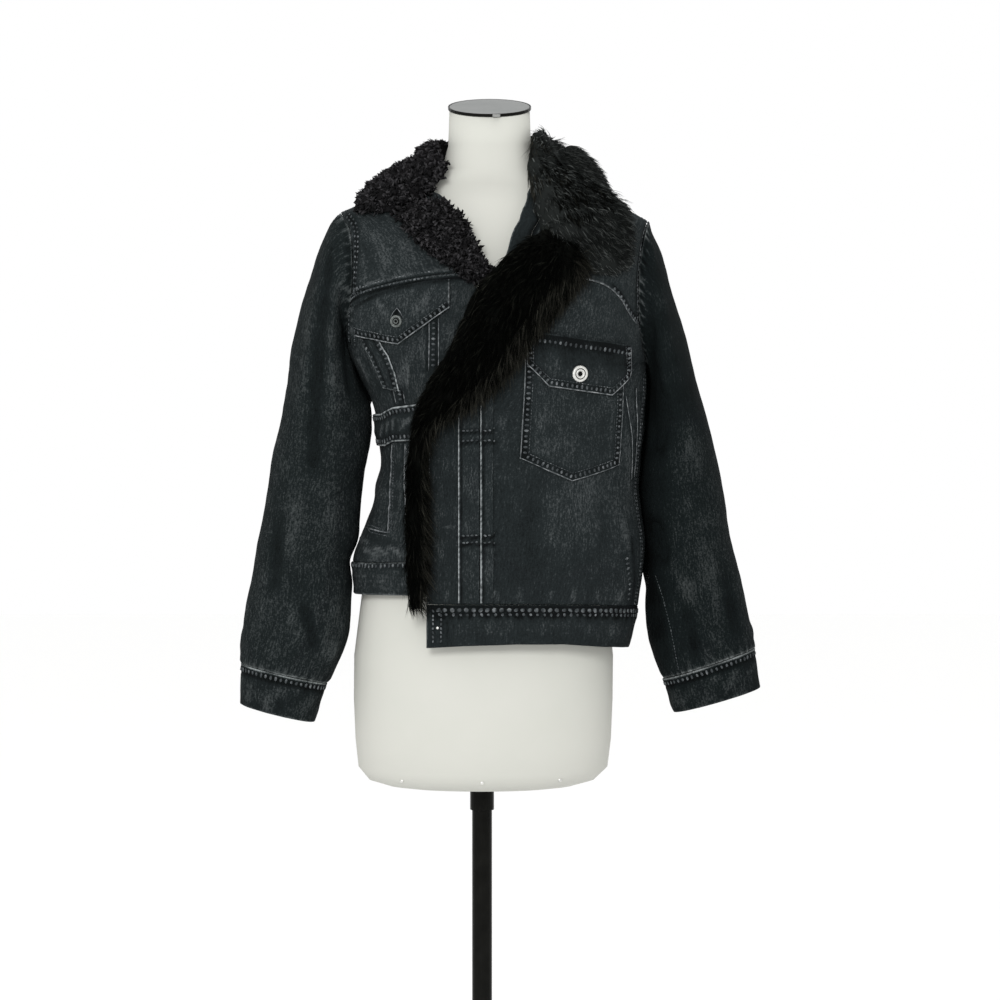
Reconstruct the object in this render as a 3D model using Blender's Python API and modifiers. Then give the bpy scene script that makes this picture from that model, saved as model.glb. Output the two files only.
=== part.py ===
"""A black denim jacket, sewn from two unlike halves, on a limbless dress form and its stand.

The wearer's right half is cropped, fitted at the waist and has a curly pile collar and lapel. The
wearer's left half is long and boxy, laps over the right one and carries a fur collar and a fur strip.
Sizes in the tables are millimetres, heights are measured up from the form's lower end, and place()
turns them into metres above the floor. The jacket faces -Y and the wearer's left is +X.
"""

import math
from collections import namedtuple

import bpy
from mathutils import Matrix, Vector

# ---------------------------------------------------------------- driving dimensions, in metres

MM = 0.001
FORM_BOTTOM = 0.62  # height of the form's lower end above the floor
FIGURE_SHIFT = 0.0025  # the form sits this far to its left of the pole's axis

DENIM = 0.0016  # one thickness of denim with its turnings
BAND = 0.0026  # doubled denim of the hem bands and cuffs
SEAM_GAP = 0.0004  # between two panels at a seam
LAY_GAP = 0.0009  # under a piece that lies on a panel
PILE_LIFT = 0.0037  # the leaf under a pile collar stands this far off the yoke's inner face
PRESSED_STRIP = 0.0012  # a pressed pleat or band that lies on a panel
POCKET_CLOTH = 0.0014
FLAP_CLOTH = 0.002  # two thicknesses, turned at the edge
PILE_RIM = 0.0025  # where the pile thins out at a piece's edge
COLLAR_PILE = 0.025
STRIP_PILE = 0.022
LAPEL_PILE = 0.016
CUFF_DROP = 0.6  # millimetres between the sleeve's end and its cuff
ANGLE_SHARP = math.radians(40)  # a fold over this angle is drawn sharp

POLE_RADIUS = 0.0125
POLE_COLLAR_RADIUS = 0.015
POLE_COLLAR_HEIGHT = 0.0295
BASE_RADIUS = 0.18
BASE_THICKNESS = 0.014
HUB_RADIUS = 0.03
HUB_HEIGHT = 0.035

CAP_RADIUS = 0.0502
CAP_THICKNESS = 0.004
CAP_RIM_WIDTH = 0.0012
NECK_CENTRE = 7.0
NECK_TOP = 849.0
NECK_TILT = math.radians(13)  # the neck is cut lower in front

# ---------------------------------------------------------------- body sections, in millimetres

SECTION_POWER = 2.2  # between an ellipse, 2, and a box
LAP_EDGE = 180.0  # half-width of the flat curve that the left front follows past the centre

Level = namedtuple("Level", "height edge")
Depth = namedtuple("Depth", "height front back")
FormRing = namedtuple("FormRing", "height centre half_width front back")
SleeveRing = namedtuple("SleeveRing", "outer_x outer_height inner_x inner_height half_depth centre_y")

RIGHT_SIDE = [
    Level(235, 161),
    Level(283, 164),
    Level(308, 156),
    Level(346, 141),
    Level(378, 135),
    Level(403, 129),
    Level(450, 132.5),
    Level(470, 136),
    Level(488, 142.5),
    Level(518, 157.5),
    Level(544, 169),
    Level(557.5, 171),
    Level(586, 168),
    Level(611, 164),
    Level(656, 162),
    Level(696, 166),
    Level(716, 178),
]
RIGHT_RIDGE = [
    Level(716, 178),
    Level(733, 141),
    Level(750, 101),
    Level(768, 62),
    Level(785, 58),
    Level(812, 56),
]
RIGHT_DEPTH = [
    Depth(235, 110, 121),
    Depth(283, 107, 117),
    Depth(346, 99, 110),
    Depth(403, 96, 104),
    Depth(450, 101, 102),
    Depth(488, 110, 103),
    Depth(518, 118, 105),
    Depth(557, 126, 107),
    Depth(600, 124, 108),
    Depth(640, 113, 107),
    Depth(680, 96, 101),
    Depth(716, 78, 89),
    Depth(740, 67, 77),
    Depth(768, 60, 63),
    Depth(812, 58, 60),
]
LEFT_SIDE = [
    Level(170, 178),
    Level(200, 187),
    Level(239, 193.5),
    Level(264, 198),
    Level(308, 200.5),
    Level(341, 196),
    Level(375, 192),
    Level(409, 195),
    Level(459, 200),
    Level(509, 203.5),
    Level(531, 201.5),
    Level(571, 192.5),
    Level(609, 190.5),
    Level(646, 191),
    Level(684, 197),
    Level(706, 203),
]
LEFT_RIDGE = [
    Level(706, 203),
    Level(727, 165),
    Level(747, 115),
    Level(768, 78),
    Level(785, 71),
    Level(820, 69),
]
LEFT_DEPTH = [
    Depth(170, 124, 124),
    Depth(235, 126, 121),
    Depth(283, 127, 117),
    Depth(346, 127, 110),
    Depth(403, 127, 104),
    Depth(450, 128, 102),
    Depth(488, 129, 103),
    Depth(518, 132, 105),
    Depth(557, 135, 107),
    Depth(600, 131, 108),
    Depth(640, 121, 107),
    Depth(680, 104, 101),
    Depth(716, 85, 89),
    Depth(740, 73, 77),
    Depth(768, 64, 63),
    Depth(820, 60, 60),
]
FORM_RINGS = [
    FormRing(0, -4, 96, 66, 70),
    FormRing(3, -4, 118, 84, 90),
    FormRing(10, -3, 142, 99, 106),
    FormRing(25, -1.3, 156, 107, 116),
    FormRing(60, -1, 160, 110, 121),
    FormRing(110, -1, 162, 110, 122),
    FormRing(165, -0.5, 162, 107, 121),
    FormRing(240, 0, 153, 99, 110),
    FormRing(320, 1, 131, 86, 91),
    FormRing(395, 1, 118, 78, 76),
    FormRing(460, 1, 121, 88, 78),
    FormRing(520, 2, 138, 108, 88),
    FormRing(560, 3, 148, 114, 94),
    FormRing(600, 4, 150, 108, 96),
    FormRing(650, 5, 150, 90, 92),
    FormRing(690, 6, 152, 70, 80),
    FormRing(712, 7, 154, 60, 68),
    FormRing(728, 5.5, 148, 52, 58),
    FormRing(741, 3.4, 122.2, 47.5, 53),
    FormRing(752, 5, 94.5, 48, 53),
    FormRing(762, 6, 72, 49.5, 52),
    FormRing(772, 7, 59, 49, 51),
    FormRing(800, 7, 51.5, 49, 50),
    FormRing(NECK_TOP - 4, NECK_CENTRE, 50, 50, 50),
]

# ---------------------------------------------------------------- sleeves, in millimetres

RIGHT_SLEEVE = [
    SleeveRing(192.5, 699, 168, 550, 57, 4),
    SleeveRing(210, 656, 166, 537, 60, 5),
    SleeveRing(225, 606, 158.5, 512, 60, 6),
    SleeveRing(237.5, 552, 147.5, 487.5, 57, 6),
    SleeveRing(245, 502, 142, 469, 55, 5),
    SleeveRing(252.5, 459, 143.5, 430, 53, 3),
    SleeveRing(266, 396, 152, 378, 51, 0),
    SleeveRing(277, 332, 157.5, 315, 49, -3),
    SleeveRing(282, 300, 168, 283, 48, -4),
    SleeveRing(287.5, 269, 165.5, 249, 47, -6),
    SleeveRing(297, 214, 171, 194, 45, -8),
    SleeveRing(303, 166, 190, 144, 43, -10),
    SleeveRing(301, 156, 198.5, 132, 41, -10),
]
RIGHT_CUFF = [
    SleeveRing(301.5, 131, 206, 108, 40, -11),
    SleeveRing(302.5, 104.5, 214.5, 82.5, 39, -12),
]
LEFT_SLEEVE = [
    SleeveRing(209, 689, 206, 522.5, 60, 5),
    SleeveRing(220, 664, 209, 507, 62, 7),
    SleeveRing(234, 614, 209, 490, 62, 9),
    SleeveRing(250, 561, 208, 469, 61, 10),
    SleeveRing(266, 504, 205.5, 444, 60, 10),
    SleeveRing(280, 449, 202, 411, 59, 9),
    SleeveRing(292, 399, 198.5, 374, 57, 7),
    SleeveRing(301, 349, 202, 337, 55, 5),
    SleeveRing(311, 296, 207, 284, 52, 3),
    SleeveRing(322.5, 244, 203.5, 231, 49, 1),
    SleeveRing(332.5, 200, 208, 184, 46, -1),
    SleeveRing(335.5, 182, 219, 149, 44, -2),
    SleeveRing(336, 174, 226, 137, 43, -2),
]
LEFT_CUFF = [
    SleeveRing(339.5, 148, 233, 113, 42, -3),
    SleeveRing(343.5, 124, 240, 94, 41, -4),
]
SLEEVE_SIDES = 24
HEAD_CLEARANCE = 1.6  # between the sleeve's head and the cloth round the armhole
SLEEVE_CLEARANCE = 4.6  # between the sleeve's inner face and the body's inner face


def smooth(rows, column, height):
    """The value of a named column at a height, from a cubic curve through the rows."""
    heights = [row.height for row in rows]
    values = [getattr(row, column) for row in rows]
    height = min(max(height, heights[0]), heights[-1])
    last = len(rows) - 1
    low = max(index for index in range(last) if heights[index] <= height)

    def slope(index):
        before = max(index - 1, 0)
        after = min(index + 1, last)
        return (values[after] - values[before]) / (heights[after] - heights[before])

    step = heights[low + 1] - heights[low]
    part = (height - heights[low]) / step
    ease = part * part * (3 - 2 * part)
    start_pull = part * (1 - part) ** 2 * step * slope(low)
    end_pull = part * part * (part - 1) * step * slope(low + 1)
    return values[low] * (1 - ease) + values[low + 1] * ease + start_pull + end_pull


def place(x, y, height):
    """Millimetres on the figure to metres above the floor."""
    return Vector((x * MM + FIGURE_SHIFT, y * MM, height * MM + FORM_BOTTOM))


def root(cosine):
    """A side of the section's curve: |x/a|^n + |y/b|^n = 1 with both sides read from one angle."""
    return math.copysign(abs(cosine) ** (2 / SECTION_POWER), cosine)


class Half:
    """One half of the jacket's body, as a surface over (turn, height).

    turn is the angle from the side seam in degrees: -90 is centre front, 0 the side, the armhole or
    the shoulder's ridge, and 90 centre back. Past -90 the front laps over the other half.
    """

    def __init__(self, side, sides, ridge, depth, reach_front, reach_back):
        self.side = side
        self.sides = sides
        self.ridge = ridge
        self.depth = depth
        self.armpit = {-1: 557.5, 1: 531.0}[side]
        self.tip = sides[-1].height
        self.reach = {-1: reach_front, 1: reach_back}

    def edge(self, height):
        """Half-width inside the cloth."""
        rows = self.sides if height <= self.tip else self.ridge
        return smooth(rows, "edge", height) - DENIM / MM

    def armhole(self, face, height):
        """How far the armhole's edge stands in front of the side, or behind it."""
        middle = (self.tip + self.armpit) / 2
        half = (self.tip - self.armpit) / 2
        inside = 1 - ((height - middle) / half) ** 2
        return self.reach[face] * math.sqrt(inside) if inside > 0 else 0.0

    def point(self, turn, height, lift=0.0):
        """A point of the cloth's inner face, or lift metres outside it."""
        if lift:
            return self.point(turn, height) + self.normal(turn, height) * lift
        face = 1 if turn > 0 else -1
        angle = math.radians(turn)
        reach = self.armhole(face, height)
        depth = smooth(self.depth, "front" if face < 0 else "back", height)
        half_width = self.edge(height) if turn >= -90 else LAP_EDGE
        x = self.side * half_width * root(math.cos(angle))
        y = face * (reach + (depth - reach) * root(abs(math.sin(angle))))
        return place(x, y, height)

    def normal(self, turn, height):
        """The outward direction, from two small steps along the surface."""
        step = 0.5
        face = 1 if turn > 0 else -1
        inside = face * max(abs(turn), step * 2)
        across = self.point(inside + step, height) - self.point(inside - step, height)
        along = self.point(inside, height + step) - self.point(inside, height - step)
        direction = across.cross(along).normalized()
        middle = place(0, 0, height)
        out = self.point(inside, height) - middle
        return direction if direction.dot(out) > 0 else -direction

    def front(self, x, height):
        """(turn, height) of the front at a distance from the centre, + to the wearer's left."""
        across = x * self.side
        half_width = self.edge(height) if across >= 0 else LAP_EDGE
        share = min(abs(across) / half_width, 1.0) ** (SECTION_POWER / 2)
        turn = -math.degrees(math.acos(share))
        return (turn if across >= 0 else -180 - turn, height)

    def back(self, x, height):
        """(turn, height) of the back at a distance from the centre."""
        share = min(abs(x) / self.edge(height), 1.0) ** (SECTION_POWER / 2)
        return (math.degrees(math.acos(share)), height)


RIGHT = Half(-1, RIGHT_SIDE, RIGHT_RIDGE, RIGHT_DEPTH, reach_front=52, reach_back=60)
LEFT = Half(1, LEFT_SIDE, LEFT_RIDGE, LEFT_DEPTH, reach_front=56, reach_back=62)

FRONT_SIDE = -0.12  # the turn of the side as the front reaches it
BACK_SIDE = 0.12
CENTRE_BACK = 90.0


def front_edge(height):
    return (FRONT_SIDE, height)


def back_edge(height):
    return (BACK_SIDE, height)


# ---------------------------------------------------------------- scene, materials and meshes


def clear_scene():
    for thing in list(bpy.data.objects):
        bpy.data.objects.remove(thing, do_unlink=True)


def collection(name):
    made = bpy.data.collections.new(name)
    bpy.context.scene.collection.children.link(made)
    return made


def material(name, colour, roughness, metallic=0.0):
    made = bpy.data.materials.new(name)
    made.use_nodes = True
    shader = made.node_tree.nodes["Principled BSDF"]
    shader.inputs["Base Color"].default_value = (*colour, 1.0)
    shader.inputs["Roughness"].default_value = roughness
    shader.inputs["Metallic"].default_value = metallic
    made.diffuse_color = (*colour, 1.0)
    return made


clear_scene()
JACKET = collection("spliced_denim_jacket_on_dress_form")
DENIM_BLACK = material("washed_black_denim", (0.018, 0.021, 0.022), 0.9)
DENIM_SLEEVE = material("sleeve_black_denim", (0.012, 0.014, 0.014), 0.9)
CURLY_PILE = material("curly_black_pile", (0.007, 0.006, 0.007), 1.0)
LONG_FUR = material("long_black_fur", (0.003, 0.003, 0.003), 0.8)
DARK_METAL = material("aged_dark_metal", (0.06, 0.06, 0.06), 0.4, 1.0)
BRIGHT_METAL = material("bright_nickel", (0.62, 0.61, 0.58), 0.25, 1.0)
FORM_CLOTH = material("off_white_form_cover", (0.70, 0.71, 0.66), 0.6)
CAP_GREY = material("grey_cap_face", (0.36, 0.37, 0.36), 0.5)
POLE_BLACK = material("black_gloss_pole", (0.01, 0.01, 0.009), 0.2)


def add_mesh(name, points, faces, finish):
    mesh = bpy.data.meshes.new(name)
    mesh.from_pydata([tuple(point) for point in points], [], faces)
    mesh.materials.append(finish)
    mesh.validate()
    made = bpy.data.objects.new(name, mesh)
    JACKET.objects.link(made)
    mesh.shade_smooth()
    mesh.set_sharp_from_angle(angle=ANGLE_SHARP)
    return made


def along(line, share):
    """A point on a line of (turn, height) pairs, which are evenly spaced in share."""
    reach = share * (len(line) - 1)
    low = min(int(reach), len(line) - 2)
    part = reach - low
    start, end = line[low], line[low + 1]
    return (start[0] + (end[0] - start[0]) * part, start[1] + (end[1] - start[1]) * part)


def inset_shares(count, inset):
    """count + 1 shares from 0 to 1, the first and last of them drawn in by inset."""
    shares = [index / count for index in range(count + 1)]
    shares[0] = inset
    shares[-1] = 1 - inset
    return shares


def fill(bottom, top, inner, outer, u, v):
    """(turn, height) inside four border lines: u runs from inner to outer, v from bottom to top."""
    low, high = along(bottom, u), along(top, u)
    near, far = along(inner, v), along(outer, v)
    corners = (bottom[0], bottom[-1], top[0], top[-1])
    weights = ((1 - u) * (1 - v), u * (1 - v), (1 - u) * v, u * v)
    return tuple(
        (1 - v) * low[axis]
        + v * high[axis]
        + (1 - u) * near[axis]
        + u * far[axis]
        - sum(weight * corner[axis] for weight, corner in zip(weights, corners))
        for axis in (0, 1)
    )


def outline_grid(half, lines, columns, rows):
    """(turn, height) for each crossing of the panel, its borders half a seam gap inside the lines."""
    bottom, top, inner, outer = lines
    middle_low = fill(*lines, 0.5, 0.0)
    middle_high = fill(*lines, 0.5, 1.0)
    tall = (half.point(*middle_high) - half.point(*middle_low)).length
    wide = (half.point(*along(inner, 0.5)) - half.point(*along(outer, 0.5))).length
    across = inset_shares(columns, SEAM_GAP / 2 / wide)
    upward = inset_shares(rows, SEAM_GAP / 2 / tall)
    return [[fill(*lines, u, v) for u in across] for v in upward]


def grid_faces(columns, rows, flipped, first=0):
    width = columns + 1
    faces = []
    for row in range(rows):
        for column in range(columns):
            corner = first + row * width + column
            face = (corner, corner + 1, corner + 1 + width, corner + width)
            faces.append(face[::-1] if flipped else face)
    return faces


def thicken(made, thickness):
    solid = made.modifiers.new("cloth_thickness", "SOLIDIFY")
    solid.thickness = thickness
    solid.offset = 1.0
    solid.use_even_offset = False


def runs_inward(half, grid):
    """Whether the grid's faces, taken in order, would point at the body."""
    middle = (len(grid) - 1) // 2
    centre = (len(grid[0]) - 1) // 2
    here = half.point(*grid[middle][centre])
    across = half.point(*grid[middle][centre + 1]) - here
    upward = half.point(*grid[middle + 1][centre]) - here
    return across.cross(upward).dot(half.normal(*grid[middle][centre])) < 0


def panel(name, half, lines, columns, rows, lift=0.0, thickness=DENIM, finish=DENIM_BLACK):
    """A flat-cut piece of cloth on a half of the jacket, between its bottom, top, inner and outer lines."""
    grid = outline_grid(half, lines, columns, rows)
    points = [half.point(*spot, lift) for row in grid for spot in row]
    faces = grid_faces(columns, rows, runs_inward(half, grid))
    thicken(add_mesh(name, points, faces, finish), thickness)


def pelt(name, half, lines, columns, rows, lift, depth, finish):
    """A thick pile piece: full depth in the middle, rounded down to a thin rim all round."""
    grid = outline_grid(half, lines, columns, rows)
    under, over = [], []
    for row_index, row in enumerate(grid):
        for column_index, spot in enumerate(row):
            u = 2 * column_index / columns - 1
            v = 2 * row_index / rows - 1
            swell = ((1 - u**4) * (1 - v**4)) ** 0.5
            under.append(half.point(*spot, lift))
            over.append(half.point(*spot, lift + PILE_RIM + (depth - PILE_RIM) * swell))
    inward = runs_inward(half, grid)
    count = len(under)
    faces = grid_faces(columns, rows, inward, first=count)
    faces += grid_faces(columns, rows, not inward)
    width = columns + 1
    border = list(range(columns))
    border += [columns + row * width for row in range(rows)]
    border += [rows * width + column for column in range(columns, 0, -1)]
    border += [row * width for row in range(rows, 0, -1)]
    for spot, following in zip(border, border[1:] + border[:1]):
        face = (spot, following, following + count, spot + count)
        faces.append(face[::-1] if inward else face)
    add_mesh(name, under + over, faces, finish)


def loft(name, rings, finish, capped, thickness=0.0):
    """A skin through rings of equally many points. It is closed by its caps, or is an open tube of cloth."""
    sides = len(rings[0])
    points = [point for ring in rings for point in ring]
    faces = []
    for level in range(len(rings) - 1):
        for spot in range(sides):
            after = (spot + 1) % sides
            low, high = level * sides, (level + 1) * sides
            faces.append((low + spot, low + after, high + after, high + spot))
    centre = sum(rings[0], Vector()) / sides
    turning = (rings[0][1] - centre).cross(rings[0][2] - centre)
    rising = sum(rings[1], Vector()) / sides - centre
    if turning.dot(rising) < 0:
        faces = [face[::-1] for face in faces]
    if capped:
        first = tuple(range(sides))
        last = tuple(range(len(points) - sides, len(points)))
        if turning.dot(rising) < 0:
            faces += [first, last[::-1]]
        else:
            faces += [first[::-1], last]
    made = add_mesh(name, points, faces, finish)
    if thickness:
        thicken(made, thickness)
    return made


# ---------------------------------------------------------------- sleeves and cuffs


def ring_points(half, ring):
    """A ring of the sleeve: it tilts between its outer and inner point, and is an ellipse front to back.

    Its inner point hangs against the body's side, and stays clear of it.
    """
    inner_x = max(ring.inner_x, half.edge(ring.inner_height) + SLEEVE_CLEARANCE)
    middle_x = (ring.outer_x + inner_x) / 2
    middle_height = (ring.outer_height + ring.inner_height) / 2
    points = []
    for spot in range(SLEEVE_SIDES):
        angle = 2 * math.pi * spot / SLEEVE_SIDES
        reach = math.cos(angle) / 2
        x = middle_x + (ring.outer_x - inner_x) * reach
        height = middle_height + (ring.outer_height - ring.inner_height) * reach
        y = ring.centre_y - ring.half_depth * math.sin(angle)
        points.append(place(half.side * x, y, height))
    return points


def armhole_ring(half):
    """The sleeve's head: it butts on the body's armhole, a seam gap outside the cloth there."""
    middle = (half.tip + half.armpit) / 2
    reach = (half.tip - half.armpit) / 2
    clearance = DENIM / MM + HEAD_CLEARANCE
    points = []
    for spot in range(SLEEVE_SIDES):
        angle = 2 * math.pi * spot / SLEEVE_SIDES
        height = middle + reach * math.cos(angle)
        face = -1 if math.sin(angle) >= 0 else 1
        x = half.edge(min(height, half.tip)) + clearance
        points.append(place(half.side * x, face * half.armhole(face, height), height))
    return points


def sleeve(name, half, rings):
    skins = [armhole_ring(half)] + [ring_points(half, ring) for ring in rings]
    loft(name, skins, DENIM_SLEEVE, capped=False, thickness=DENIM)


def cuff(name, half, sleeve_end, rings):
    """The cuff starts a seam gap below the sleeve's last ring."""
    head = sleeve_end._replace(
        outer_height=sleeve_end.outer_height - CUFF_DROP,
        inner_height=sleeve_end.inner_height - CUFF_DROP,
    )
    loft(name, [ring_points(half, ring) for ring in (head, *rings)], DENIM_SLEEVE, False, BAND)


# ---------------------------------------------------------------- the jacket's right half

R, L = RIGHT, LEFT

RIGHT_YOKE_SEAM = [R.front(-8, 643), R.front(-30, 642), R.front(-79, 636), R.front(-119, 628)]
RIGHT_YOKE_SEAM += [front_edge(608)]
RIGHT_WAIST_SEAM = [R.front(-14, 460), R.front(-50, 458), R.front(-86, 455), R.front(-115, 451)]
RIGHT_WAIST_SEAM += [front_edge(448)]
RIGHT_HEM_SEAM = [R.front(-38, 286), R.front(-68, 286), R.front(-98, 286), R.front(-132, 284)]
RIGHT_HEM_SEAM += [front_edge(282)]
RIGHT_HEM = [R.front(-40, 245), R.front(-68, 245), R.front(-98, 245), R.front(-132, 244)]
RIGHT_HEM += [front_edge(242)]
RIGHT_BACK_YOKE_SEAM = [(CENTRE_BACK, 640), R.back(60, 640), R.back(115, 632), back_edge(618)]
RIGHT_BACK_HEM_SEAM = [(CENTRE_BACK, 280), R.back(60, 280), R.back(120, 281), back_edge(282)]
RIGHT_BACK_HEM = [(CENTRE_BACK, 240), R.back(60, 240), R.back(120, 241), back_edge(242)]
RIGHT_LAPEL_EDGE = [R.front(-8, 643), R.front(-22, 688), R.front(-40, 712), R.front(-54, 738)]
RIGHT_LAPEL_EDGE += [front_edge(768)]


def right_fronts():
    ridge = [front_edge(768), front_edge(755), front_edge(743), front_edge(730), front_edge(716)]
    armhole = [front_edge(608), front_edge(640), front_edge(672), front_edge(698), front_edge(716)]
    panel("right_front_yoke", R, (RIGHT_YOKE_SEAM, ridge, RIGHT_LAPEL_EDGE, armhole), 8, 8)
    edge = [R.front(-14, 460), R.front(-12, 515), R.front(-10, 558), R.front(-9, 600)]
    edge += [R.front(-8, 643)]
    side = [front_edge(448), front_edge(503), front_edge(557.5), front_edge(583), front_edge(608)]
    panel("right_front_chest", R, (RIGHT_WAIST_SEAM, RIGHT_YOKE_SEAM, edge, side), 8, 8)
    edge = [R.front(-38, 286), R.front(-30, 344), R.front(-22, 402), R.front(-14, 460)]
    side = [front_edge(282), front_edge(337), front_edge(392), front_edge(448)]
    panel("right_front_skirt", R, (RIGHT_HEM_SEAM, RIGHT_WAIST_SEAM, edge, side), 8, 6)
    edge = [RIGHT_HEM[0], RIGHT_HEM_SEAM[0]]
    side = [RIGHT_HEM[-1], RIGHT_HEM_SEAM[-1]]
    panel("right_front_hem_band", R, (RIGHT_HEM, RIGHT_HEM_SEAM, edge, side), 8, 1, 0, BAND)


def right_front_details():
    """What is sewn on the right front: the side band, the pocket flap and the waist tab."""
    bottom = [R.front(-102, 497), R.front(-122, 501)]
    top = [R.front(-126, 560), R.front(-150, 562)]
    inner = [bottom[0], R.front(-107, 520), R.front(-115, 541), top[0]]
    outer = [bottom[-1], R.front(-130, 521), R.front(-139, 541), top[-1]]
    lines = (bottom, top, inner, outer)
    panel("right_side_band", R, lines, 2, 6, DENIM + 1.4 * LAY_GAP, PRESSED_STRIP)
    bottom = [R.front(-41, 598), R.front(-71, 577), R.front(-102, 555), R.front(-130, 561)]
    bottom += [R.front(-155, 567)]
    top = [R.front(-41, 632), R.front(-71, 630), R.front(-102, 624), R.front(-130, 615)]
    top += [R.front(-155, 600)]
    inner = [bottom[0], top[0]]
    outer = [bottom[-1], top[-1]]
    lift = DENIM + PRESSED_STRIP + 2.7 * LAY_GAP
    panel("right_pocket_flap", R, (bottom, top, inner, outer), 8, 4, lift, FLAP_CLOTH)
    bottom = [R.front(-64, 437), R.front(-109, 434), (-24, 428), (0.5, 427), (24, 428)]
    bottom += [R.back(100, 430), R.back(60, 431)]
    top = [R.front(-64, 484), R.front(-109, 478), (-24, 469), (0.5, 467), (24, 468)]
    top += [R.back(100, 471), R.back(60, 472)]
    lines = (bottom, top, [bottom[0], top[0]], [bottom[-1], top[-1]])
    panel("right_waist_tab", R, lines, 18, 2, DENIM + 2 * LAY_GAP, BAND)


def right_backs():
    ridge = [(CENTRE_BACK, 770), back_edge(768), back_edge(742), back_edge(716)]
    centre = [(CENTRE_BACK, 640), (CENTRE_BACK, 690), (CENTRE_BACK, 735), (CENTRE_BACK, 770)]
    armhole = [back_edge(618), back_edge(655), back_edge(690), back_edge(716)]
    panel("right_back_yoke", R, (RIGHT_BACK_YOKE_SEAM, ridge, centre, armhole), 9, 6)
    centre = [(CENTRE_BACK, height) for height in (280, 360, 440, 520, 560, 600, 640)]
    side = [back_edge(height) for height in (282, 345, 410, 480, 557.5, 588, 618)]
    panel("right_back", R, (RIGHT_BACK_HEM_SEAM, RIGHT_BACK_YOKE_SEAM, centre, side), 9, 12)
    centre = [RIGHT_BACK_HEM[0], RIGHT_BACK_HEM_SEAM[0]]
    side = [RIGHT_BACK_HEM[-1], RIGHT_BACK_HEM_SEAM[-1]]
    lines = (RIGHT_BACK_HEM, RIGHT_BACK_HEM_SEAM, centre, side)
    panel("right_back_hem_band", R, lines, 9, 1, 0, BAND)


def right_piles():
    """The curly collar and lapel."""
    leaf = [(-52, 712), (-33, 709), (-14, 717), (0.5, 727), (22, 717), (50, 706), (89.4, 698)]
    fold = [(-26, 808), (-17, 808), (-8, 808), (0.5, 808), (25, 808), (55, 808), (89.4, 806)]
    front = [leaf[0], (-61, 738), (-55, 757), (-34, 785), fold[0]]
    back = [leaf[-1], (89.4, 725), (89.4, 752), (89.4, 779), fold[-1]]
    pelt("right_pile_collar", R, (leaf, fold, front, back), 18, 8, PILE_LIFT, COLLAR_PILE, CURLY_PILE)
    bottom = [R.front(2, 650), R.front(-9, 643), R.front(-20, 637)]
    top = [R.front(-46, 729), R.front(-72, 721), R.front(-95, 706)]
    inner = [bottom[0], R.front(-5, 663), R.front(-15, 684), R.front(-27, 708), top[0]]
    outer = [bottom[-1], R.front(-40, 653), R.front(-68, 676), R.front(-84, 692), top[-1]]
    lines = (bottom, top, inner, outer)
    pelt("right_pile_lapel", R, lines, 6, 8, DENIM + LAY_GAP, LAPEL_PILE, CURLY_PILE)


# ---------------------------------------------------------------- the jacket's left half

SIDE_TURN = 15.0  # the side panel reaches this far round to the front and to the back

LEFT_YOKE_SEAM = [L.front(44, 642), L.front(95, 640), L.front(145, 632), L.front(175, 611)]
LEFT_YOKE_SEAM += [front_edge(568)]
LEFT_TOP_SEAM = [L.front(14, 643)] + LEFT_YOKE_SEAM
LEFT_FACING_SEAM = [L.front(44, 642), L.front(57, 668), L.front(64, 700), L.front(76, 735)]
LEFT_FACING_SEAM += [front_edge(756)]
LEFT_OPENING = [L.front(14, 643), L.front(30, 668), L.front(36, 700), L.front(56, 740)]
LEFT_OPENING += [front_edge(768)]
LEFT_BAND_SEAM = [L.front(-70, 236), L.front(-22, 236), L.front(40, 236), L.front(98, 235)]
LEFT_BAND_SEAM += [L.front(146, 233), (-SIDE_TURN, 229)]
LEFT_BACK_YOKE_SEAM = [(CENTRE_BACK, 640), L.back(60, 640), L.back(125, 632), back_edge(618)]
LEFT_SIDE_HEIGHTS = (278, 329, 380, 431, 482)
LEFT_UNDERARM = 515


def left_fronts():
    ridge = [front_edge(756), front_edge(743), front_edge(731), front_edge(719), front_edge(706)]
    armhole = [front_edge(568), front_edge(604), front_edge(640), front_edge(676), front_edge(706)]
    panel("left_front_yoke", L, (LEFT_YOKE_SEAM, ridge, LEFT_FACING_SEAM, armhole), 8, 8)
    neck = [front_edge(768), front_edge(756)]
    seam = [L.front(14, 643), L.front(44, 642)]
    panel("left_neck_facing", L, (seam, neck, LEFT_OPENING, LEFT_FACING_SEAM), 2, 8)
    edge = [L.front(-70, height) for height in (236, 284, 332, 380, 425, 461)]
    edge += [L.front(-52, 500), L.front(-17, 552), L.front(2, 600), L.front(14, 643)]
    side = [(-SIDE_TURN, height) for height in (229,) + LEFT_SIDE_HEIGHTS]
    side += [(-SIDE_TURN, LEFT_UNDERARM), front_edge(531), front_edge(548), front_edge(568)]
    panel("left_front", L, (LEFT_BAND_SEAM, LEFT_TOP_SEAM, edge, side), 10, 9)


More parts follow.
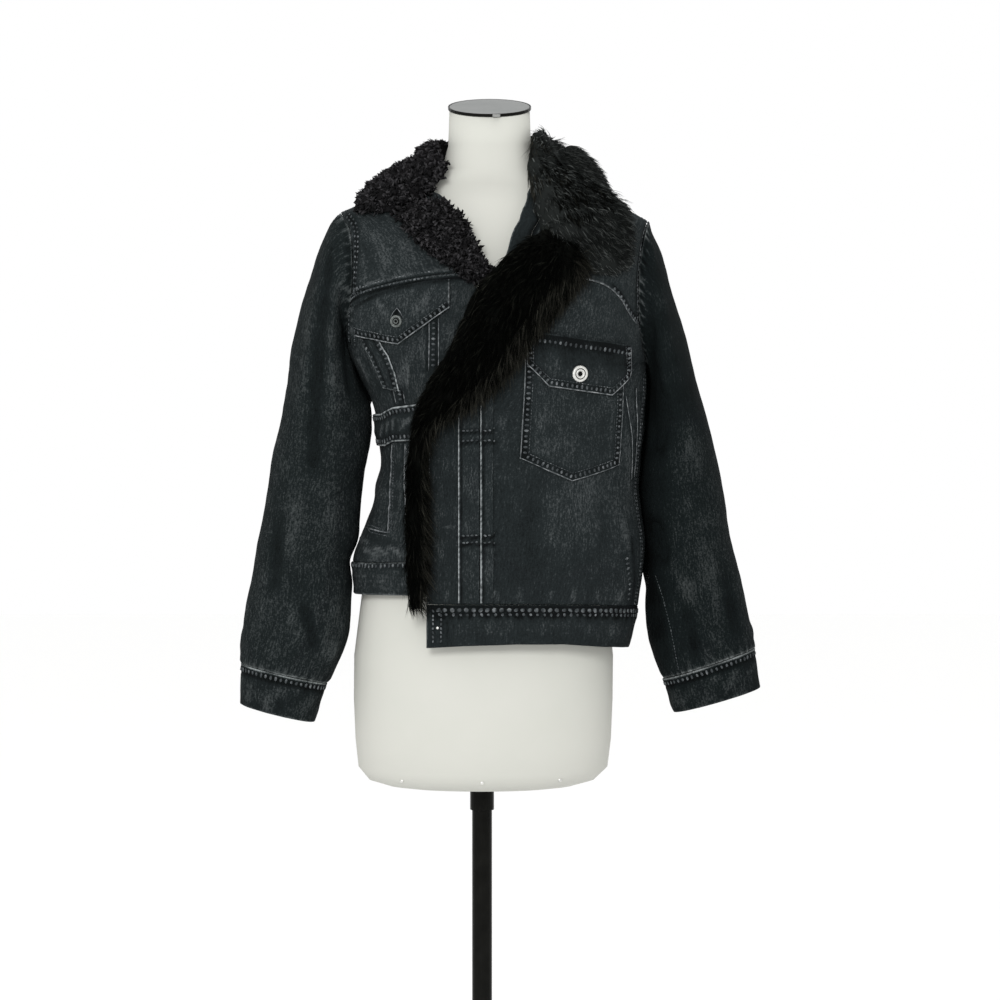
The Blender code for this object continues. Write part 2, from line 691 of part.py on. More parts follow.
def left_front_details():
    """What lies on the left front: two pressed pleats, the pocket and its flap."""
    for name, low, high in (("left_pleat_inner", -31, -5), ("left_pleat_outer", -4, 12)):
        bottom = [L.front(low, 238), L.front(high, 238)]
        top = [L.front(low, 505), L.front(high, 528)]
        lines = (bottom, top, [bottom[0], top[0]], [bottom[-1], top[-1]])
        panel(name, L, lines, 2, 8, DENIM + LAY_GAP, PRESSED_STRIP)
    lift = DENIM + 1.6 * LAY_GAP
    bottom = [L.front(43.5, 415), L.front(76, 400), L.front(107, 386), L.front(137, 395)]
    bottom += [L.front(165, 405)]
    top = [L.front(49, 549), L.front(79, 549), L.front(108, 547), L.front(137, 545)]
    top += [L.front(166, 542)]
    lines = (bottom, top, [bottom[0], top[0]], [bottom[-1], top[-1]])
    panel("left_chest_pocket", L, lines, 8, 8, lift, POCKET_CLOTH)
    lift += POCKET_CLOTH + 2.1 * LAY_GAP
    bottom = [L.front(51.5, 531), L.front(78, 503), L.front(116, 497), L.front(153, 491)]
    bottom += [L.front(175, 513)]
    top = [L.front(50.5, 570), L.front(82, 567), L.front(116, 562), L.front(148, 558)]
    top += [L.front(176, 553)]
    lines = (bottom, top, [bottom[0], top[0]], [bottom[-1], top[-1]])
    panel("left_pocket_flap", L, lines, 8, 4, lift, FLAP_CLOTH)


def left_sides_and_bands():
    turns = (-SIDE_TURN, -SIDE_TURN / 2, 0.01, SIDE_TURN / 2, SIDE_TURN)
    bottom = [(turn, 227 + max(-turn, 0) / SIDE_TURN * 2) for turn in turns]
    top = [(turn, 531 - abs(turn) / SIDE_TURN * (531 - LEFT_UNDERARM)) for turn in turns]
    front = [(-SIDE_TURN, height) for height in (229,) + LEFT_SIDE_HEIGHTS + (LEFT_UNDERARM,)]
    back = [(SIDE_TURN, height) for height in (227,) + LEFT_SIDE_HEIGHTS + (LEFT_UNDERARM,)]
    panel("left_side_panel", L, (bottom, top, front, back), 4, 6)
    top = LEFT_BAND_SEAM + [(0.01, 227)]
    bottom = [L.front(-70, 182), L.front(-22, 185), L.front(40, 187), L.front(98, 186)]
    bottom += [L.front(144, 181), (-SIDE_TURN, 177), (0.01, 175)]
    lines = (bottom, top, [bottom[0], top[0]], [bottom[-1], top[-1]])
    panel("left_front_waistband", L, lines, 12, 1, 0, BAND)
    top = [(CENTRE_BACK, 227), L.back(60, 227), L.back(120, 227), (SIDE_TURN, 227), (0.02, 227)]
    bottom = [(CENTRE_BACK, 174), L.back(60, 174), L.back(120, 174), (SIDE_TURN, 174), (0.02, 175)]
    lines = (bottom, top, [bottom[0], top[0]], [bottom[-1], top[-1]])
    panel("left_back_waistband", L, lines, 12, 1, 0, BAND)


def left_backs():
    ridge = [(CENTRE_BACK, 770), back_edge(768), back_edge(737), back_edge(706)]
    centre = [(CENTRE_BACK, 640), (CENTRE_BACK, 690), (CENTRE_BACK, 735), (CENTRE_BACK, 770)]
    armhole = [back_edge(618), back_edge(650), back_edge(680), back_edge(706)]
    panel("left_back_yoke", L, (LEFT_BACK_YOKE_SEAM, ridge, centre, armhole), 9, 6)
    bottom = [(CENTRE_BACK, 227), L.back(60, 227), L.back(120, 227), (SIDE_TURN, 227)]
    side = [(SIDE_TURN, height) for height in (227,) + LEFT_SIDE_HEIGHTS]
    side += [(SIDE_TURN, LEFT_UNDERARM), back_edge(531), back_edge(573), back_edge(618)]
    centre = [(CENTRE_BACK, height) for height in (227, 278, 329, 380, 431, 482, 525, 565, 602, 640)]
    panel("left_back", L, (bottom, LEFT_BACK_YOKE_SEAM, centre, side), 9, 9)


def left_furs():
    """The fur collar over the shoulder and the long fur strip along the front edge."""
    leaf = [L.front(143, 641), L.front(157, 638), L.front(168, 652), (-25, 680), (-27, 704)]
    leaf += [(0.5, 730), (24, 714), (55, 702), (89.4, 694)]
    fold = [(-34, 815), (-28, 816), (-22, 816), (-15, 817), (-8, 817), (0.5, 817), (24, 816)]
    fold += [(55, 812), (89.4, 808)]
    front = [leaf[0], L.front(128, 681), L.front(85, 707), L.front(68, 745), (-42, 782), fold[0]]
    back = [leaf[-1], (89.4, 720), (89.4, 742), (89.4, 765), (89.4, 787), fold[-1]]
    pelt("left_fur_collar", L, (leaf, fold, front, back), 16, 10, PILE_LIFT, COLLAR_PILE, LONG_FUR)


STRIP_LIFT = 0.0085  # clear of the pocket flap, whose corner it covers
STRIP_WIDTHS = (
    # left x, height; right x, height, from the strip's tip up to the collar
    (-85, 231, -75, 231),
    (-93, 270, -68, 270),
    (-96, 319, -67, 319),
    (-95, 361, -67, 361),
    (-93, 405, -68, 405),
    (-88, 442, -64, 438),
    (-81, 467, -56, 456),
    (-73, 491, -36, 468),
    (-61, 516, -12, 484),
    (-45, 543, 12, 503),
    (-31, 570, 33, 526),
    (-20, 597, 50, 549),
    (-8, 620, 66, 570),
    (10, 641, 84, 591),
    (30, 661, 104, 613),
    (52, 678, 122, 640),
    (76, 690, 122, 668),
)


def fur_strip():
    left = [L.front(row[0], row[1]) for row in STRIP_WIDTHS]
    right = [L.front(row[2], row[3]) for row in STRIP_WIDTHS]
    lines = ([left[0], right[0]], [left[-1], right[-1]], left, right)
    pelt("left_fur_strip", L, lines, 6, 32, STRIP_LIFT, STRIP_PILE, LONG_FUR)


# ---------------------------------------------------------------- buttons

Knob = namedtuple("Knob", "out radius")


def button(name, half, spot, lift, profile, finish):
    """A turned shank button: its profile runs from the middle of its face down to its back."""
    points = [(radius * MM, 0, out * MM) for out, radius in profile]
    edges = [(low, low + 1) for low in range(len(points) - 1)]
    mesh = bpy.data.meshes.new(name)
    mesh.from_pydata(points, edges, [])
    mesh.materials.append(finish)
    made = bpy.data.objects.new(name, mesh)
    JACKET.objects.link(made)
    turned = made.modifiers.new("turned", "SCREW")
    turned.axis = "Z"
    turned.steps = 20
    turned.render_steps = 20
    turned.use_merge_vertices = True
    turned.merge_threshold = 0.00001
    outward = half.normal(*spot)
    made.rotation_mode = "QUATERNION"
    made.rotation_quaternion = outward.to_track_quat("Z", "Y")
    made.location = half.point(*spot, lift)


def buttons():
    small = [Knob(2.6, 0), Knob(2.2, 2.2), Knob(3.2, 3.4), Knob(3.0, 6.6), Knob(1.6, 7.5)]
    small += [Knob(0.0, 6.6), Knob(0.0, 0)]
    lift = DENIM + PRESSED_STRIP + FLAP_CLOTH + 3.4 * LAY_GAP
    button("right_flap_button", R, R.front(-104, 582.5), lift, small, DARK_METAL)
    large = [Knob(3.0, 0), Knob(2.6, 2.6), Knob(4.0, 4.2), Knob(3.6, 9.2), Knob(2.0, 10.4)]
    large += [Knob(0.0, 9.4), Knob(0.0, 0)]
    lift = DENIM + POCKET_CLOTH + FLAP_CLOTH + 4.6 * LAY_GAP
    button("left_flap_button", L, L.front(114, 519), lift, large, BRIGHT_METAL)


# ---------------------------------------------------------------- the dress form and its stand

FORM_SIDES = 32
CAP_SIDES = 32


def torso_ring(row):
    points = []
    for spot in range(FORM_SIDES):
        angle = 2 * math.pi * spot / FORM_SIDES
        depth = row.front if math.sin(angle) < 0 else row.back
        x = row.centre + row.half_width * root(math.cos(angle))
        y = depth * root(math.sin(angle))
        tilt = y * math.tan(NECK_TILT) if row is FORM_RINGS[-1] else 0.0
        points.append(place(x, y, row.height + tilt))
    return points


def cylinder(name, radius, height, base, finish, sides=CAP_SIDES, bevel=0.0):
    """An upright round piece on a base point, with its scale left at one."""
    bpy.ops.mesh.primitive_cylinder_add(vertices=sides, radius=radius, depth=height)
    made = bpy.context.object
    made.name = made.data.name = name
    made.data.transform(Matrix.Translation((0, 0, height / 2)))
    made.location = base
    made.data.materials.append(finish)
    for old in list(made.users_collection):
        old.objects.unlink(made)
    JACKET.objects.link(made)
    made.data.shade_smooth()
    made.data.set_sharp_from_angle(angle=ANGLE_SHARP)
    if bevel:
        rounded = made.modifiers.new("rounded_edge", "BEVEL")
        rounded.width = bevel
        rounded.segments = 2
        rounded.limit_method = "ANGLE"
    return made


def neck_cap():
    """The cap's grey face, and its black rim as a ring round it, both tilted with the neck."""
    tilt = Matrix.Rotation(NECK_TILT, 4, "X")
    seat = place(NECK_CENTRE, 0, NECK_TOP - 4 + SEAM_GAP / MM)
    face = cylinder("neck_cap", CAP_RADIUS, CAP_THICKNESS, seat, CAP_GREY, bevel=0.001)
    face.rotation_euler = tilt.to_euler()
    mesh = bpy.data.meshes.new("neck_cap_rim")
    inside = CAP_RADIUS + SEAM_GAP
    outside = inside + CAP_RIM_WIDTH
    low, high = 0.0004, CAP_THICKNESS
    profile = [(inside, low), (inside, high), (outside, high), (outside, low)]
    mesh.from_pydata([(x, 0, z) for x, z in profile], [(0, 1), (1, 2), (2, 3), (3, 0)], [])
    mesh.materials.append(POLE_BLACK)
    rim = bpy.data.objects.new("neck_cap_rim", mesh)
    JACKET.objects.link(rim)
    rim.location = seat
    rim.rotation_euler = tilt.to_euler()
    turned = rim.modifiers.new("turned", "SCREW")
    turned.axis = "Z"
    turned.steps = CAP_SIDES
    turned.render_steps = CAP_SIDES
    turned.use_merge_vertices = True
    turned.merge_threshold = 0.00001


def stand():
    """A round weighted base, its hub, the pole, and the collar that the form rests on."""
    cylinder("stand_base", BASE_RADIUS, BASE_THICKNESS, (0, 0, 0), POLE_BLACK, 48, bevel=0.003)
    top = BASE_THICKNESS + SEAM_GAP
    cylinder("stand_hub", HUB_RADIUS, HUB_HEIGHT, (0, 0, top), POLE_BLACK, 24, bevel=0.004)
    top += HUB_HEIGHT + SEAM_GAP
    collar_low = FORM_BOTTOM - SEAM_GAP - POLE_COLLAR_HEIGHT
    height = collar_low - SEAM_GAP - top
    cylinder("stand_pole", POLE_RADIUS, height, (0, 0, top), POLE_BLACK, 24)
    low = (0, 0, collar_low)
    cylinder("pole_collar", POLE_COLLAR_RADIUS, POLE_COLLAR_HEIGHT, low, POLE_BLACK, 24, bevel=0.001)


def form():
    loft("form_torso", [torso_ring(row) for row in FORM_RINGS], FORM_CLOTH, capped=True)
    neck_cap()
    stand()


def main():
    right_fronts()
    right_front_details()
    right_backs()
    right_piles()
    left_fronts()
    left_front_details()
    left_sides_and_bands()
    left_backs()
    left_furs()
    fur_strip()
    sleeve("right_sleeve", R, RIGHT_SLEEVE)
    cuff("right_cuff", R, RIGHT_SLEEVE[-1], RIGHT_CUFF)
    sleeve("left_sleeve", L, LEFT_SLEEVE)
    cuff("left_cuff", L, LEFT_SLEEVE[-1], LEFT_CUFF)
    buttons()
    form()


main()
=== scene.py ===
"""The looks of a spliced black denim jacket on a limbless dress form and its stand.

Cloth is a thin shell on the same surfaces as its solids, with creases, seams, puckers and stitches laid
on it. The curly pile and the fur are joined tufts and strands. The body's and the sleeves' tables
and all places on a half are millimetres, with heights above the form's lower end, and other sizes are
metres. A place seen from the front is given in thousandths of the camera's square view, across from its
left and down from its top, and is cast onto the piece it is on.
"""

import math
from collections import namedtuple

import bmesh
import bpy
import numpy as np
from mathutils import Matrix, Vector
from mathutils.bvhtree import BVHTree


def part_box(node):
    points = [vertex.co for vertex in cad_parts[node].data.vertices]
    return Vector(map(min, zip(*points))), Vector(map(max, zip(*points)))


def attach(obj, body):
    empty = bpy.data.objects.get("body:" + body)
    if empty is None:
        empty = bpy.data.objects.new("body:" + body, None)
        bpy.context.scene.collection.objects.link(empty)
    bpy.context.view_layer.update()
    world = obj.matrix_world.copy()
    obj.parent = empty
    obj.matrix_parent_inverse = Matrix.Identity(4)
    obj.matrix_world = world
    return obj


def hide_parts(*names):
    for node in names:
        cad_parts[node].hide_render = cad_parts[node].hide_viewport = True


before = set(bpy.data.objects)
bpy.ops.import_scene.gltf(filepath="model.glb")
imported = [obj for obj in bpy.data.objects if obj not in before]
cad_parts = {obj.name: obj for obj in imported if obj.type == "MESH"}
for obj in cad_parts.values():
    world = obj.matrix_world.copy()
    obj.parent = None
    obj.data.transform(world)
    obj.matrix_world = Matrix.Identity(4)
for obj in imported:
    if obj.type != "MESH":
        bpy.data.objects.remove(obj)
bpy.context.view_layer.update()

MM = 0.001
FORM_BOTTOM = 0.62
FIGURE_SHIFT = 0.0025  # the figure's middle stands this far to the side of the pole
DENIM = 0.0016
BAND = 0.0026
SEAM_GAP = 0.0004
LAY_GAP = 0.0009
PILE_LIFT = 0.0037
PRESSED_STRIP = 0.0012
POCKET_CLOTH = 0.0014
FLAP_CLOTH = 0.002
PILE_RIM = 0.0025
CUFF_DROP = 0.6  # the gap from sleeve to cuff, in millimetres
BODY = "root"

# ---- camera, light and floor

VIEW_TARGET = Vector((0.0225, 0.0, 0.97875))
VIEW_DISTANCE = 5.5
VIEW_ELEVATION = math.radians(2.5)
VIEW_FIELD = 1.25  # metres across the view at the target
SENSOR = 36.0
VIEW_UNITS = 1000.0

VIEW_BACK = Vector((0, -math.cos(VIEW_ELEVATION), math.sin(VIEW_ELEVATION)))
VIEW_UP = Vector((0, math.sin(VIEW_ELEVATION), math.cos(VIEW_ELEVATION)))
VIEW_EYE = VIEW_TARGET + VIEW_BACK * VIEW_DISTANCE


def sight(x, y):
    """From the eye to a place in the view, at the target's distance."""
    right = (x / VIEW_UNITS - 0.5) * VIEW_FIELD
    up = (0.5 - y / VIEW_UNITS) * VIEW_FIELD
    return -VIEW_BACK * VIEW_DISTANCE + Vector((right, 0, 0)) + VIEW_UP * up


def make_camera():
    data = bpy.data.cameras.new("view_camera")
    data.sensor_width = SENSOR
    data.lens = SENSOR * VIEW_DISTANCE / VIEW_FIELD
    data.clip_end = 60
    camera = bpy.data.objects.new("view_camera", data)
    bpy.context.scene.collection.objects.link(camera)
    camera.location = VIEW_EYE
    camera.rotation_euler = (-VIEW_BACK).to_track_quat("-Z", "Y").to_euler()
    bpy.context.scene.camera = camera


Light = namedtuple("Light", "name place size watts")
LIGHTS = (
    Light("key_light", (-0.7, -3.3, 2.4), (1.0, 1.0), 72),
    Light("top_light", (0.2, -0.3, 3.2), (1.4, 1.0), 9),
)
LIGHT_AIM = Vector((0, 0, 1.1))
FLOOR_REACH = 12.0
FLOOR_COLOUR = (0.99, 0.99, 0.985, 1)


def soft_light(light):
    data = bpy.data.lights.new(light.name, "AREA")
    data.shape = "RECTANGLE"
    data.size, data.size_y = light.size
    data.energy = light.watts
    lamp = bpy.data.objects.new(light.name, data)
    bpy.context.scene.collection.objects.link(lamp)
    lamp.location = light.place
    lamp.rotation_euler = (LIGHT_AIM - Vector(light.place)).to_track_quat("-Z", "Y").to_euler()


def make_studio():
    """An even white studio, a key from above the view and a little from its left, and a pale floor."""
    world = bpy.data.worlds.new("white_studio")
    world.use_nodes = True
    sky = world.node_tree.nodes["Background"]
    sky.inputs["Color"].default_value = (1, 1, 1, 1)
    sky.inputs["Strength"].default_value = 1.0
    bpy.context.scene.world = world
    bpy.context.scene.view_settings.view_transform = "Standard"
    for light in LIGHTS:
        soft_light(light)
    floor = bpy.data.meshes.new("studio_floor")
    reach = FLOOR_REACH
    corners = [(-reach, -reach, 0), (reach, -reach, 0), (reach, reach, 0), (-reach, reach, 0)]
    floor.from_pydata(corners, [], [(0, 1, 2, 3)])
    ground = bpy.data.objects.new("studio_floor", floor)
    bpy.context.scene.collection.objects.link(ground)
    pale = bpy.data.materials.new("pale_floor")
    pale.use_nodes = True
    surface = pale.node_tree.nodes["Principled BSDF"].inputs
    surface["Base Color"].default_value = FLOOR_COLOUR
    surface["Roughness"].default_value = 0.9
    floor.materials.append(pale)


make_camera()
make_studio()

# ---- the jacket's surfaces

SECTION_POWER = 2.2
LAP_EDGE = 180.0
HEIGHT_STEP = 0.5

Level = namedtuple("Level", "height edge")
Depth = namedtuple("Depth", "height front back")
SleeveRing = namedtuple("SleeveRing", "outer_x outer_height inner_x inner_height half_depth centre_y")


def rows(kind, *values):
    return [kind(*row) for row in values]


RIGHT_SIDE = rows(
    Level,
    (235, 161), (283, 164), (308, 156), (346, 141), (378, 135), (403, 129), (450, 132.5), (470, 136),
    (488, 142.5), (518, 157.5), (544, 169), (557.5, 171), (586, 168), (611, 164), (656, 162), (696, 166),
    (716, 178),
)
RIGHT_RIDGE = rows(
    Level,
    (716, 178), (733, 141), (750, 101), (768, 62), (785, 58), (812, 56),
)
RIGHT_DEPTH = rows(
    Depth,
    (235, 110, 121), (283, 107, 117), (346, 99, 110), (403, 96, 104), (450, 101, 102), (488, 110, 103),
    (518, 118, 105), (557, 126, 107), (600, 124, 108), (640, 113, 107), (680, 96, 101), (716, 78, 89),
    (740, 67, 77), (768, 60, 63), (812, 58, 60),
)
LEFT_SIDE = rows(
    Level,
    (170, 178), (200, 187), (239, 193.5), (264, 198), (308, 200.5), (341, 196), (375, 192), (409, 195),
    (459, 200), (509, 203.5), (531, 201.5), (571, 192.5), (609, 190.5), (646, 191), (684, 197), (706, 203),
)
LEFT_RIDGE = rows(
    Level,
    (706, 203), (727, 165), (747, 115), (768, 78), (785, 71), (820, 69),
)
LEFT_DEPTH = rows(
    Depth,
    (170, 124, 124), (235, 126, 121), (283, 127, 117), (346, 127, 110), (403, 127, 104), (450, 128, 102),
    (488, 129, 103), (518, 132, 105), (557, 135, 107), (600, 131, 108), (640, 121, 107), (680, 104, 101),
    (716, 85, 89), (740, 73, 77), (768, 64, 63), (820, 60, 60),
)
RIGHT_SLEEVE = rows(
    SleeveRing,
    (192.5, 699, 168, 550, 57, 4), (210, 656, 166, 537, 60, 5), (225, 606, 158.5, 512, 60, 6),
    (237.5, 552, 147.5, 487.5, 57, 6), (245, 502, 142, 469, 55, 5), (252.5, 459, 143.5, 430, 53, 3),
    (266, 396, 152, 378, 51, 0), (277, 332, 157.5, 315, 49, -3), (282, 300, 168, 283, 48, -4),
    (287.5, 269, 165.5, 249, 47, -6), (297, 214, 171, 194, 45, -8), (303, 166, 190, 144, 43, -10),
    (301, 156, 198.5, 132, 41, -10),
)
RIGHT_CUFF = rows(
    SleeveRing,
    (301.5, 131, 206, 108, 40, -11), (302.5, 104.5, 214.5, 82.5, 39, -12),
)
LEFT_SLEEVE = rows(
    SleeveRing,
    (209, 689, 206, 522.5, 60, 5), (220, 664, 209, 507, 62, 7), (234, 614, 209, 490, 62, 9),
    (250, 561, 208, 469, 61, 10), (266, 504, 205.5, 444, 60, 10), (280, 449, 202, 411, 59, 9),
    (292, 399, 198.5, 374, 57, 7), (301, 349, 202, 337, 55, 5), (311, 296, 207, 284, 52, 3),
    (322.5, 244, 203.5, 231, 49, 1), (332.5, 200, 208, 184, 46, -1), (335.5, 182, 219, 149, 44, -2),
    (336, 174, 226, 137, 43, -2),
)
LEFT_CUFF = rows(
    SleeveRing,
    (339.5, 148, 233, 113, 42, -3), (343.5, 124, 240, 94, 41, -4),
)
HEAD_CLEARANCE = 0.35
SLEEVE_CLEARANCE = 1.4
SLEEVE_TUCK = 9.0  # how far the sleeve's inner side reaches behind the body's, where the two touch
SLEEVE_APART = {-1: 473, 1: 236}  # the height where each sleeve leaves its side of the body


def smooth(rows, column, heights):
    """The values of a named column at many heights, from a cubic curve through the rows."""
    known = np.array([row.height for row in rows])
    values = np.array([getattr(row, column) for row in rows])
    heights = np.clip(heights, known[0], known[-1])
    last = len(rows) - 1
    before = np.maximum(np.arange(last + 1) - 1, 0)
    after = np.minimum(np.arange(last + 1) + 1, last)
    slopes = (values[after] - values[before]) / (known[after] - known[before])
    low = np.clip(np.searchsorted(known, heights, side="right") - 1, 0, last - 1)
    step = known[low + 1] - known[low]
    part = (heights - known[low]) / step
    ease = part * part * (3 - 2 * part)
    start_pull = part * (1 - part) ** 2 * step * slopes[low]
    end_pull = part * part * (part - 1) * step * slopes[low + 1]
    return values[low] * (1 - ease) + values[low + 1] * ease + start_pull + end_pull


def place(x, y, height):
    return np.stack((x * MM + FIGURE_SHIFT, y * MM, height * MM + FORM_BOTTOM), -1)


def root(cosine):
    return np.copysign(np.abs(cosine) ** (2 / SECTION_POWER), cosine)


def unit(vectors):
    return vectors / np.maximum(np.linalg.norm(vectors, axis=-1, keepdims=True), 1e-12)


class Half:
    """One half of the jacket's body, as a surface over (turn, height).

    turn is the angle from the side seam in degrees: -90 is centre front, 0 the side, the armhole or
    the shoulder's ridge, and 90 centre back. Past -90 the front laps over the other half.
    """

    def __init__(self, side, sides, ridge, depth, armpit, reach_front, reach_back):
        self.side = side
        self.tip = sides[-1].height
        self.armpit = armpit
        self.reach_front = reach_front
        self.reach_back = reach_back
        self.levels = np.arange(160.0, 826.0, HEIGHT_STEP)
        below = smooth(sides, "edge", self.levels)
        above = smooth(ridge, "edge", self.levels)
        self.edges = np.where(self.levels <= self.tip, below, above) - DENIM / MM
        self.fronts = smooth(depth, "front", self.levels)
        self.backs = smooth(depth, "back", self.levels)

    def edge(self, height):
        return np.interp(height, self.levels, self.edges)

    def armhole(self, face, height):
        middle = (self.tip + self.armpit) / 2
        half = (self.tip - self.armpit) / 2
        inside = np.maximum(1 - ((height - middle) / half) ** 2, 0.0)
        return np.where(face > 0, self.reach_back, self.reach_front) * np.sqrt(inside)

    def depths(self, face, height):
        """How far the armhole reaches and how deep the half is, before (-) or behind (+) the middle."""
        front = np.interp(height, self.levels, self.fronts)
        back = np.interp(height, self.levels, self.backs)
        return self.armhole(face, height), np.where(face < 0, front, back)

    def point(self, turn, height):
        turn, height = np.broadcast_arrays(np.asarray(turn, float), np.asarray(height, float))
        face = np.where(turn > 0, 1.0, -1.0)
        angle = np.radians(turn)
        reach, depth = self.depths(face, height)
        half_width = np.where(turn >= -90, self.edge(height), LAP_EDGE)
        x = self.side * half_width * root(np.cos(angle))
        y = face * (reach + (depth - reach) * root(np.abs(np.sin(angle))))
        return place(x, y, height)

    def width_at(self, y, height):
        """The half width, at a distance before (-) or behind (+) the middle."""
        reach, depth = self.depths(np.where(y > 0, 1.0, -1.0), height)
        share = np.clip((np.abs(y) - reach) / (depth - reach), 0, 1)
        return self.edge(height) * (1 - share**SECTION_POWER) ** (1 / SECTION_POWER)

    def normal(self, turn, height):
        turn, height = np.broadcast_arrays(np.asarray(turn, float), np.asarray(height, float))
        step = 0.5
        rise = 12.0  # long enough to pass smoothly over the armhole's lower end
        inside = np.where(turn > 0, 1.0, -1.0) * np.maximum(np.abs(turn), step * 2)
        across = self.point(inside + step, height) - self.point(inside - step, height)
        along = self.point(inside, height + rise) - self.point(inside, height - rise)
        direction = unit(np.cross(across, along))
        outward = self.point(inside, height) - place(np.zeros_like(height), np.zeros_like(height), height)
        facing = (direction * outward).sum(-1, keepdims=True)
        return np.where(facing > 0, direction, -direction)

    def front(self, x, height):
        """(turn, height) of the front at a distance from the centre, + to the wearer's left."""
        across = x * self.side
        half_width = self.edge(height) if across >= 0 else LAP_EDGE
        share = min(abs(across) / half_width, 1.0) ** (SECTION_POWER / 2)
        turn = -math.degrees(math.acos(share))
        return (turn if across >= 0 else -180 - turn, height)

    def back(self, x, height):
        share = min(abs(x) / self.edge(height), 1.0) ** (SECTION_POWER / 2)
        return (math.degrees(math.acos(share)), height)

    def front_line(self, *places):
        return [self.front(x, height) for x, height in places]

    def back_line(self, *places):
        return [self.back(x, height) for x, height in places]


RIGHT = Half(-1, RIGHT_SIDE, RIGHT_RIDGE, RIGHT_DEPTH, 557.5, reach_front=52, reach_back=60)
LEFT = Half(1, LEFT_SIDE, LEFT_RIDGE, LEFT_DEPTH, 531.0, reach_front=56, reach_back=62)
R, L = RIGHT, LEFT

FRONT_SIDE = -0.12
BACK_SIDE = 0.12
CENTRE_BACK = 90.0


def upright(turn, *heights):
    """A border line that goes straight up or down a half at one turn."""
    return [(turn, height) for height in heights]


# ---- noise and distances


def waves(points, size, seed, count=12):
    """Smooth uneven values of about -1 to 1, with bumps of a size in metres."""
    random = np.random.default_rng(seed)
    total = np.zeros(points.shape[:-1])
    for _ in range(count):
        direction = unit(random.normal(size=3))
        pace = 2 * math.pi / size * random.uniform(0.55, 1.6)
        total += np.sin(points @ (direction * pace) + random.uniform(0, 2 * math.pi))
    return total / math.sqrt(count / 2) / 1.6


def near(points, path, reach):
    """For each point: its distance to the path, how far along the path that is, and the path's length."""
    starts, steps = path[:-1], path[1:] - path[:-1]
    lengths = np.linalg.norm(steps, axis=1)
    begun = np.concatenate(([0.0], np.cumsum(lengths)))
    best = np.full(len(points), 1.0)
    along = np.zeros(len(points))
    low, high = path.min(0) - reach, path.max(0) + reach
    spots = np.nonzero(((points > low) & (points < high)).all(1))[0]
    inside = points[spots]
    gap = np.full(len(spots), 1.0)
    reached = np.zeros(len(spots))
    for start, step, length, before in zip(starts, steps, lengths, begun):
        if length < 1e-9:
            continue
        offset = inside - start
        share = np.clip(offset @ step / length**2, 0, 1)
        distance = np.linalg.norm(offset - share[:, None] * step, axis=1)
        closer = distance < gap
        gap[closer] = distance[closer]
        reached[closer] = before + share[closer] * length
    best[spots] = gap
    along[spots] = reached
    return best, along, begun[-1]


def between(before, start, end, after, part):
    """A smooth curve's points from start to end, where it also passes through before and after."""
    square = 2 * before - 5 * start + 4 * end - after
    cube = 3 * start - before - 3 * end + after
    return (2 * start + (end - before) * part + square * part**2 + cube * part**3) / 2


def rounded(points, step=None, count=None):
    """A smooth curve through the points, with a point every step or so, or count points to each span."""
    points = np.asarray(points, float)
    padded = np.concatenate((2 * points[:1] - points[1:2], points, 2 * points[-1:] - points[-2:-1]))
    made = []
    for before, start, end, after in zip(padded, padded[1:], padded[2:], padded[3:]):
        here = count or max(int(np.linalg.norm(end - start) / step), 1)
        made.append(between(before, start, end, after, np.arange(here)[:, None] / here))
    made.append(points[-1:])
    return np.concatenate(made)


def straight(points, step):
    """The points' own straight lines, with a point every step or so."""
    points = np.asarray(points, float)
    made = []
    for start, end in zip(points, points[1:]):
        count = max(int(np.linalg.norm(end - start) / step), 1)
        part = np.arange(count)[:, None] / count
        made.append(start + (end - start) * part)
    made.append(points[-1:])
    return np.concatenate(made)


# ---- finishes

UV_NAME = "cloth_uv"
WEAR_AND_SHADE = "wear"  # from -1, painted shade in a hollow, to 1, rubbed pale by wear
TUFT = "tuft"  # from 0 to 1, one value for each tuft or strand, and along it: painted shade towards the root, painted glints towards the tip
